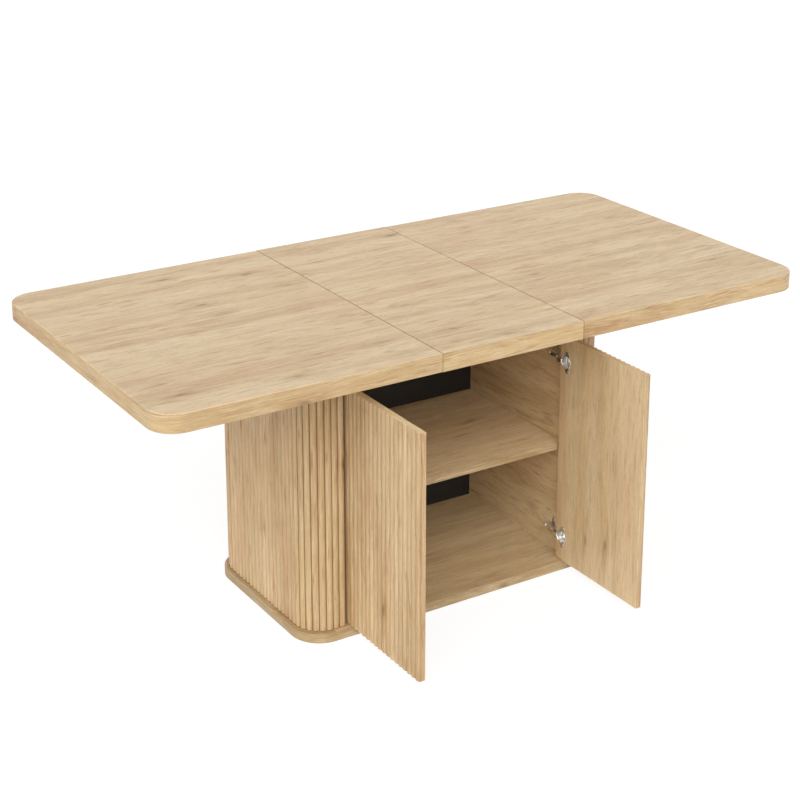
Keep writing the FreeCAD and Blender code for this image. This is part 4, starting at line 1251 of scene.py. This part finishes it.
wing_high_y = door_high.y / MM - WING_FROM_EDGE
hollow_radius = CUP_RADIUS - CUP_WALL
floor_x = face_x + CUP_DEEP
hollow_x = floor_x - CUP_WALL
plug_profile = [
    (0, face_x - RIM_THICK), (RIM_RADIUS - 0.5, face_x - RIM_THICK), (RIM_RADIUS, face_x - RIM_THICK / 3),
    (RIM_RADIUS, face_x), (CUP_RADIUS, face_x), (CUP_RADIUS, floor_x - 2.4),
    (CUP_RADIUS - 0.7, floor_x - 0.7), (CUP_RADIUS - 2.4, floor_x), (0, floor_x)]
hollow_profile = [
    (0, face_x - 3), (hollow_radius + 1.0, face_x - 3), (hollow_radius + 0.7, face_x - RIM_THICK),
    (hollow_radius + 0.2, face_x - 0.1), (hollow_radius, face_x + 0.8), (hollow_radius, hollow_x - 2),
    (hollow_radius - 0.6, hollow_x - 0.6), (hollow_radius - 2, hollow_x), (0, hollow_x)]
wing_outline = rounded_bar(wing_high_y - WING_WIDTH, wing_high_y, WING_HALF, WING_CORNER)


def hinge_cup(z):
    """One cup with its wings, its hollow and the cheeks that hold the pin."""
    seat = at(0, cup_y, z, ALONG_X)
    knuckle = at(pin_x, pin_y, z)
    cup = turned_body(plug_profile, seat)
    wings = prism(wing_outline, face_x - WING_THICK, face_x, at(0, 0, z, ALONG_X), WING_EASE)
    work_with(cup, wings, "UNION")
    work_with(cup, rod(KNUCKLE_RADIUS, -KNUCKLE_HALF, KNUCKLE_HALF, knuckle), "UNION")
    work_with(cup, turned_body(hollow_profile, seat))
    work_with(cup, rod(POCKET_RADIUS, -POCKET_HALF, POCKET_HALF, knuckle))
    near, far = POCKET_HALF - CHEEK_LAP, KNUCKLE_HALF - CHEEK_LAP
    for low, high in ((-far, -near), (near, far)):
        work_with(cup, rod(CHEEK_RADIUS, low, high, knuckle), "UNION")
    return cup


cups = joined("right_cups", [hinge_cup(z) for z in hinge_heights])
print("faces in two cups:", len(cups.data.polygons))

# %% [markdown]
# ## Hinge arms and mounting plates
#
# The arm turns on the pin, climbs out of the cup, crosses over to the side panel and runs along it
# as a channel. Its web has a slot and a round screw seat. The mounting plate under it has a raised
# rib and two wings with rounded ends.

# %% Make the arms and the plates
ARM_HALF = 5.0
ARM_EASE = 0.7
EYE_RADIUS = 3.0
EYE_INSET = 0.1
PIN_BORE = 1.6
NECK_THICK = 3.2
CROSS_Y = 17.5
CROSS_THICK = 5.0
BAR_THICK = 10.0
LINK_THICK = 2.8
SLOT_FROM_PIN = 34.0
SLOT_LONG_HALF = 6.0
SLOT_HALF = 1.7
SLOT_ROUND = 1.6
SLOT_DEEP = 3.0
REAR_SCREW_FROM_TIP = 9.0
REAR_SEAT_RADIUS = 3.6
REAR_SEAT_DEEP = 2.2
CHANNEL_FROM_CROSS = 9.0
CHANNEL_FROM_TIP = 2.0
CHANNEL_HALF = 3.8
WEB_THICK = 4.0
LUG_HALF = 26.0
LUG_WIDTH = 11.0
LUG_THICK = 2.0
LUG_EASE = 0.5
LUG_HOLE_RADIUS = 1.5
LUG_HOLE_HEIGHT = 22.4
RIB_HALF = 6.0
RIB_CORNER = 2.0
RIB_EASE = 0.8

side_face = plates_high.x
bar_out = plates_low.x
bar_in = bar_out - BAR_THICK
neck_in, tip_y = arms_low.x, arms_high.y
neck_out, cross_y = neck_in + NECK_THICK, pin_y + CROSS_Y
arm_corners = [
    (pin_x, pin_y), (neck_in, pin_y), (neck_in, cross_y + CROSS_THICK), (bar_in, cross_y + CROSS_THICK),
    (bar_in, tip_y), (bar_out, tip_y), (bar_out, cross_y), (neck_out, cross_y),
    (neck_out, pin_y + LINK_THICK), (pin_x, pin_y + LINK_THICK)]
arm_radii = [0, 3.5, 4.5, 1.2, 4.0, 0.8, 3.0, 1.4, 1.2, 0]


def hinge_arm(z):
    """One cranked arm with its eye, its slot, its screw seat and its channel."""
    arm = prism(rounded(arm_corners, arm_radii), z - ARM_HALF, z + ARM_HALF, UPRIGHT, ARM_EASE)
    eye = at(pin_x, pin_y, z)
    flat = at(0, 0, z, ALONG_X)
    work_with(arm, rod(EYE_RADIUS, EYE_INSET - ARM_HALF, ARM_HALF - EYE_INSET, eye), "UNION")
    work_with(arm, rod(PIN_BORE, -ARM_HALF - 1, ARM_HALF + 1, eye))
    slot_y = pin_y + SLOT_FROM_PIN
    slot = rounded_bar(slot_y - SLOT_LONG_HALF, slot_y + SLOT_LONG_HALF, SLOT_HALF, SLOT_ROUND)
    work_with(arm, prism(slot, bar_in - 1, bar_in + SLOT_DEEP, flat))
    rear = at(0, tip_y - REAR_SCREW_FROM_TIP, z, ALONG_X)
    work_with(arm, rod(REAR_SEAT_RADIUS, bar_in - 1, bar_in + REAR_SEAT_DEEP, rear))
    channel = rounded_bar(cross_y + CHANNEL_FROM_CROSS, tip_y - CHANNEL_FROM_TIP, CHANNEL_HALF, 1)
    work_with(arm, prism(channel, bar_in + WEB_THICK, bar_out + 1, flat))
    return arm


def hinge_plate(z):
    """One mounting plate: a winged lug with two holes, and the rib that carries the arm."""
    flat = at(0, 0, z, ALONG_X)
    half = LUG_WIDTH / 2
    lug = rounded_bar(lug_y - half, lug_y + half, LUG_HALF, half - 0.2)
    piece = prism(lug, side_face - LUG_THICK, side_face, flat, LUG_EASE)
    rib = rounded_bar(plates_low.y, plates_high.y, RIB_HALF, RIB_CORNER)
    work_with(piece, prism(rib, bar_out, side_face, flat, RIB_EASE), "UNION")
    for side in (-1, 1):
        hole = at(0, lug_y, z + side * LUG_HOLE_HEIGHT, ALONG_X)
        work_with(piece, rod(LUG_HOLE_RADIUS, side_face - 4, side_face + 1, hole))
    return piece


arms = joined("right_arms", [hinge_arm(z) for z in hinge_heights])
plates = joined("right_plates", [hinge_plate(z) for z in hinge_heights])
print("faces of arms and plates:", len(arms.data.polygons), len(plates.data.polygons))

# %% Place the hinges on both sides
for stem, piece in (("cups", cups), ("arms", arms), ("plates", plates)):
    for side, part in (("left", mirrored_copy("left_" + stem, piece)), ("right", piece)):
        shade(part)
        body = side + "_door_panel" if stem == "cups" else "cabinet"
        take_over(part, side + "_hinge_" + stem, body)

# %% [markdown]
# ## Screws by Geometry Nodes
#
# Every screw is the same shape in another size: a domed round head with a cross recess, and a
# plain shank that sits in the wood. The tree builds one head, cuts the recess, and puts a copy on
# every point. Each point carries the way the head faces and the length of its screw, and each
# recess is turned by chance, as a screwdriver leaves it.

# %% Build the head of a screw
HEAD_SIDES = 32
HEAD_RINGS = 6
SHANK_SIDES = 16
RECESS_LENGTH_SHARE = 1.15
RECESS_WIDTH_SHARE = 0.26
RECESS_DEEP_SHARE = 1.2
DOME_SHARE = 0.45
SINK_SHARE = 0.8

screws = bpy.data.node_groups.new("cross-head screws", "GeometryNodeTree")
given = tree_inputs(screws, geometry="Geometry", head_radius="Float", head_height="Float",
                    shank_radius="Float", seed="Int", metal="Material")
radius, thick = given["Head Radius"], given["Head Height"]
middle = add(screws, "ShaderNodeMath", thick, -0.5, operation="MULTIPLY")
dome = add(screws, "ShaderNodeMath", thick, -DOME_SHARE, operation="MULTIPLY")
long_way = add(screws, "ShaderNodeMath", radius, RECESS_LENGTH_SHARE, operation="MULTIPLY")
narrow_way = add(screws, "ShaderNodeMath", radius, RECESS_WIDTH_SHARE, operation="MULTIPLY")
deep = add(screws, "ShaderNodeMath", thick, RECESS_DEEP_SHARE, operation="MULTIPLY")
blank = add(screws, "GeometryNodeMeshCylinder", HEAD_SIDES, 1, HEAD_RINGS, radius, thick,
            fill_type="TRIANGLE_FAN")
down = add(screws, "ShaderNodeCombineXYZ", 0.0, 0.0, middle)
lowered = add(screws, "GeometryNodeTransform", blank, down)
spot = add(screws, "GeometryNodeInputPosition")
flat_spot = add(screws, "ShaderNodeVectorMath", spot, (1, 1, 0), operation="MULTIPLY")
from_middle = add(screws, "ShaderNodeVectorMath", flat_spot, operation="LENGTH")
share = add(screws, "ShaderNodeMath", from_middle, radius, operation="DIVIDE")
square = add(screws, "ShaderNodeMath", share, 2.0, operation="POWER")
drop = add(screws, "ShaderNodeMath", square, dome, operation="MULTIPLY")
spot_height = add(screws, "ShaderNodeSeparateXYZ", spot).outputs["Z"]
on_top = add(screws, "FunctionNodeCompare", spot_height, -MERGE, operation="GREATER_THAN")
sag = add(screws, "ShaderNodeCombineXYZ", 0.0, 0.0, drop)
domed = add(screws, "GeometryNodeSetPosition", {"Geometry": lowered, "Selection": on_top, "Offset": sag})
slot_sizes = [add(screws, "ShaderNodeCombineXYZ", *way, deep)
              for way in ((long_way, narrow_way), (narrow_way, long_way))]
slots = [add(screws, "GeometryNodeMeshCube", slot_size) for slot_size in slot_sizes]
cut_head = add(screws, "GeometryNodeMeshBoolean", {"Mesh 1": domed, "Mesh 2": slots},
               operation="DIFFERENCE", solver="EXACT")
print("nodes in the head:", len(screws.nodes))

# %% Put heads and shanks on the points
aim = add(screws, "GeometryNodeInputNamedAttribute", "aim", data_type="FLOAT_VECTOR")
reach = add(screws, "GeometryNodeInputNamedAttribute", "reach", data_type="FLOAT")
facing = add(screws, "FunctionNodeAlignRotationToVector", {"Vector": aim}, axis="Z")
chance = add(screws, "FunctionNodeRandomValue", {"Seed": given["Seed"], "Max": math.tau}, data_type="FLOAT")
spin = add(screws, "ShaderNodeCombineXYZ", 0.0, 0.0, chance)
spun = add(screws, "FunctionNodeRotateRotation", facing, spin, rotation_space="LOCAL")
heads = add(screws, "GeometryNodeInstanceOnPoints", {
    "Points": given["Geometry"], "Instance": cut_head, "Rotation": spun})
shank_blank = add(screws, "GeometryNodeMeshCylinder", {
    "Vertices": SHANK_SIDES, "Radius": given["Shank Radius"], "Depth": 1.0})
shank_low = add(screws, "GeometryNodeTransform", shank_blank, (0, 0, -0.5))
inset = add(screws, "ShaderNodeMath", thick, SINK_SHARE, operation="MULTIPLY")
back = add(screws, "ShaderNodeMath", thick, -SINK_SHARE, operation="MULTIPLY")
shank_reach = add(screws, "ShaderNodeMath", reach, inset, operation="SUBTRACT")
shank_size = add(screws, "ShaderNodeCombineXYZ", 1.0, 1.0, shank_reach)
shanks = add(screws, "GeometryNodeInstanceOnPoints", {
    "Points": given["Geometry"], "Instance": shank_low, "Rotation": facing, "Scale": shank_size})
inset_way = add(screws, "ShaderNodeVectorMath", aim, back, operation="SCALE")
sunk = add(screws, "GeometryNodeTranslateInstances", {
    "Instances": shanks, "Translation": inset_way, "Local Space": False})
both = add(screws, "GeometryNodeJoinGeometry", [heads, sunk])
whole = creased(screws, add(screws, "GeometryNodeRealizeInstances", both))
metal = add(screws, "GeometryNodeSetMaterial", {"Geometry": whole, "Material": given["Metal"]})
add(screws, "NodeGroupOutput", metal)
print("nodes in the screw tree:", len(screws.nodes))

# %% [markdown]
# ## Where the screws are
#
# The plain screws of the frame say where the new ones go. Each loose island of such a part is one
# screw: its long side is its axis, and its wider end is its head.

# %% Find the screws of the frame and make them
WOOD_SCREW = (4.5 * MM, 2.0 * MM, 2.0 * MM)
HINGE_SCREW = (3.5 * MM, 1.6 * MM, 1.6 * MM)


def screw_of(body):
    """Middle of the head's face, the way it faces, and the whole length of one screw."""
    low = Vector([min(p[i] for p in body) for i in range(3)])
    high = Vector([max(p[i] for p in body) for i in range(3)])
    size = high - low
    axis = max(range(3), key=lambda i: size[i])
    across = (axis + 1) % 3

    def width_at(place):
        near = [p[across] for p in body if abs(p[axis] - place) < MM / 10]
        return max(near) - min(near)

    faces_up = width_at(high[axis]) > width_at(low[axis])
    place = (low + high) / 2
    place[axis] = high[axis] if faces_up else low[axis]
    way = Vector((0, 0, 0))
    way[axis] = 1 if faces_up else -1
    return place, way, size[axis]


def place_screws(node, body, sizes, seed):
    """Screws of one kind on the places of a part's plain screws. Sizes: head, its height, shank."""
    places, ways, lengths = zip(*[screw_of(island) for island in islands(node)])
    mesh = bpy.data.meshes.new(node + "_made")
    mesh.from_pydata([tuple(place) for place in places], [], [])
    parts = [value for way in ways for value in way]
    mesh.attributes.new("aim", "FLOAT_VECTOR", "POINT").data.foreach_set("vector", parts)
    mesh.attributes.new("reach", "FLOAT", "POINT").data.foreach_set("value", lengths)
    piece = new_piece(node + "_made", mesh)
    values = dict(zip(("Head Radius", "Head Height", "Shank Radius"), sizes))
    grow(piece, screws, {**values, "Seed": seed, "Metal": zinc_screw}, ("aim", "reach"))
    take_over(piece, node, body)


place_screws("hinge_plate_screws", "cabinet", HINGE_SCREW, 1)
place_screws("frame_screws", "cabinet", WOOD_SCREW, 2)
for side, seed in (("left", 3), ("right", 4)):
    place_screws(side + "_hinge_cup_screws", side + "_door_panel", HINGE_SCREW, seed)
    place_screws(side + "_top_screws", side + "_end", WOOD_SCREW, seed + 10)

# %% [markdown]
# ## Eased copies of the plain parts
#
# No sawn, folded or moulded part has a perfectly sharp edge. Each remaining part is copied with its
# triangles joined into clean faces, and every crease gets a small bevel: wide on wood and folded
# tube, a hair on thin plate. The shelf's front edge also gets its own edge band.

# %% Ease the edges of the remaining parts
CREASE = math.radians(35)
FLAT = math.radians(0.5)


def eased(node, body, slot, material, width, front=None):
    """Puts in a copy of a part with its edges eased. A front material is a board's edge band."""
    shape = merged_copy(node)
    bmesh.ops.dissolve_limit(shape, angle_limit=FLAT, verts=shape.verts, edges=shape.edges)
    whole = [edge for edge in shape.edges if len(edge.link_faces) == 2]
    creases = [edge for edge in whole if edge.calc_face_angle() > CREASE]
    ease_edges(shape, creases, width * MM)
    piece = new_piece(node + "_eased", shape, material)
    if front:
        piece.data.materials.append(front)
        for face in piece.data.polygons:
            face.material_index = int(face.normal.y < -FACE_UPRIGHT)
    shade(piece)
    take_over(piece, node, body)


plain_parts = [
    ("shelf", "cabinet", "oak_laminate", oak_along, 0.8, oak_shelf_band),
    ("back_panel", "cabinet", "black_board", black_board, 0.4),
    ("cross_beams", "cabinet", "black_steel", black_coat, 1.2),
    ("front_rail", "cabinet", "black_steel", black_coat, 0.9),
    ("rear_rail", "cabinet", "black_steel", black_coat, 0.9),
    ("front_rail_glide", "cabinet", "nylon", nylon, 0.5),
    ("rear_rail_glide", "cabinet", "nylon", nylon, 0.5),
    ("rail_end_caps", "cabinet", "black_plastic", black_plastic, 0.6),
    ("pivot_plate", "cabinet", "black_steel", black_coat, 0.6),
    ("centre_pin", "cabinet", "zinc_pins", zinc_turned, 0.5),
    ("shelf_pins", "cabinet", "nickel", nickel, 0.5),
    ("floor_pads", "cabinet", "felt", felt, 0.8),
    ("sync_bar", "turning_bar", "zinc_plate", zinc, 0.5),
    ("sync_bar_pins", "turning_bar", "zinc_pins", zinc_turned, 0.4),
    ("centre_leaf_pegs", "lifting_leaf", "raw_beech", beech, 1.2),
]
for side in ("left", "right"):
    plain_parts += [
        (side + "_side_panel", "cabinet", "oak_laminate", oak_across, 0.8),
        (side + "_end_battens", "cabinet", "raw_softwood", softwood, 1.0),
        (side + "_link_rod", side + "_rod", "zinc_plate", zinc, 0.5),
        (side + "_front_runner", side + "_end", "black_steel", black_coat, 1.2),
        (side + "_rear_runner", side + "_end", "black_steel", black_coat, 1.2),
        (side + "_keepers", side + "_end", "zinc_plate", zinc, 0.4),
        (side + "_stiffener", side + "_end", "black_steel", black_coat, 1.5),
        (side + "_link_bracket", side + "_end", "zinc_plate", zinc, 0.8),
        (side + "_bracket_pin", side + "_end", "zinc_pins", zinc_turned, 0.4),
        (side + "_hinge_pins", side + "_door_panel", "nickel", nickel, 0.3),
    ]
for part in plain_parts:
    eased(*part)
print("parts eased:", len(plain_parts))

# %% [markdown]
# ## Check the size and finish
#
# The dressed table has to fill the same box as the frame. Both boxes are measured, and the last
# line prints by how many millimetres each side of the box has grown.

# %% Write the sizes and finish
new_bounds = [list(corner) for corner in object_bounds()]
growth = [round((new - old) / MM, 2) for a, b in zip(cad_bounds, new_bounds) for old, new in zip(a, b)]
print("growth in mm:", growth)
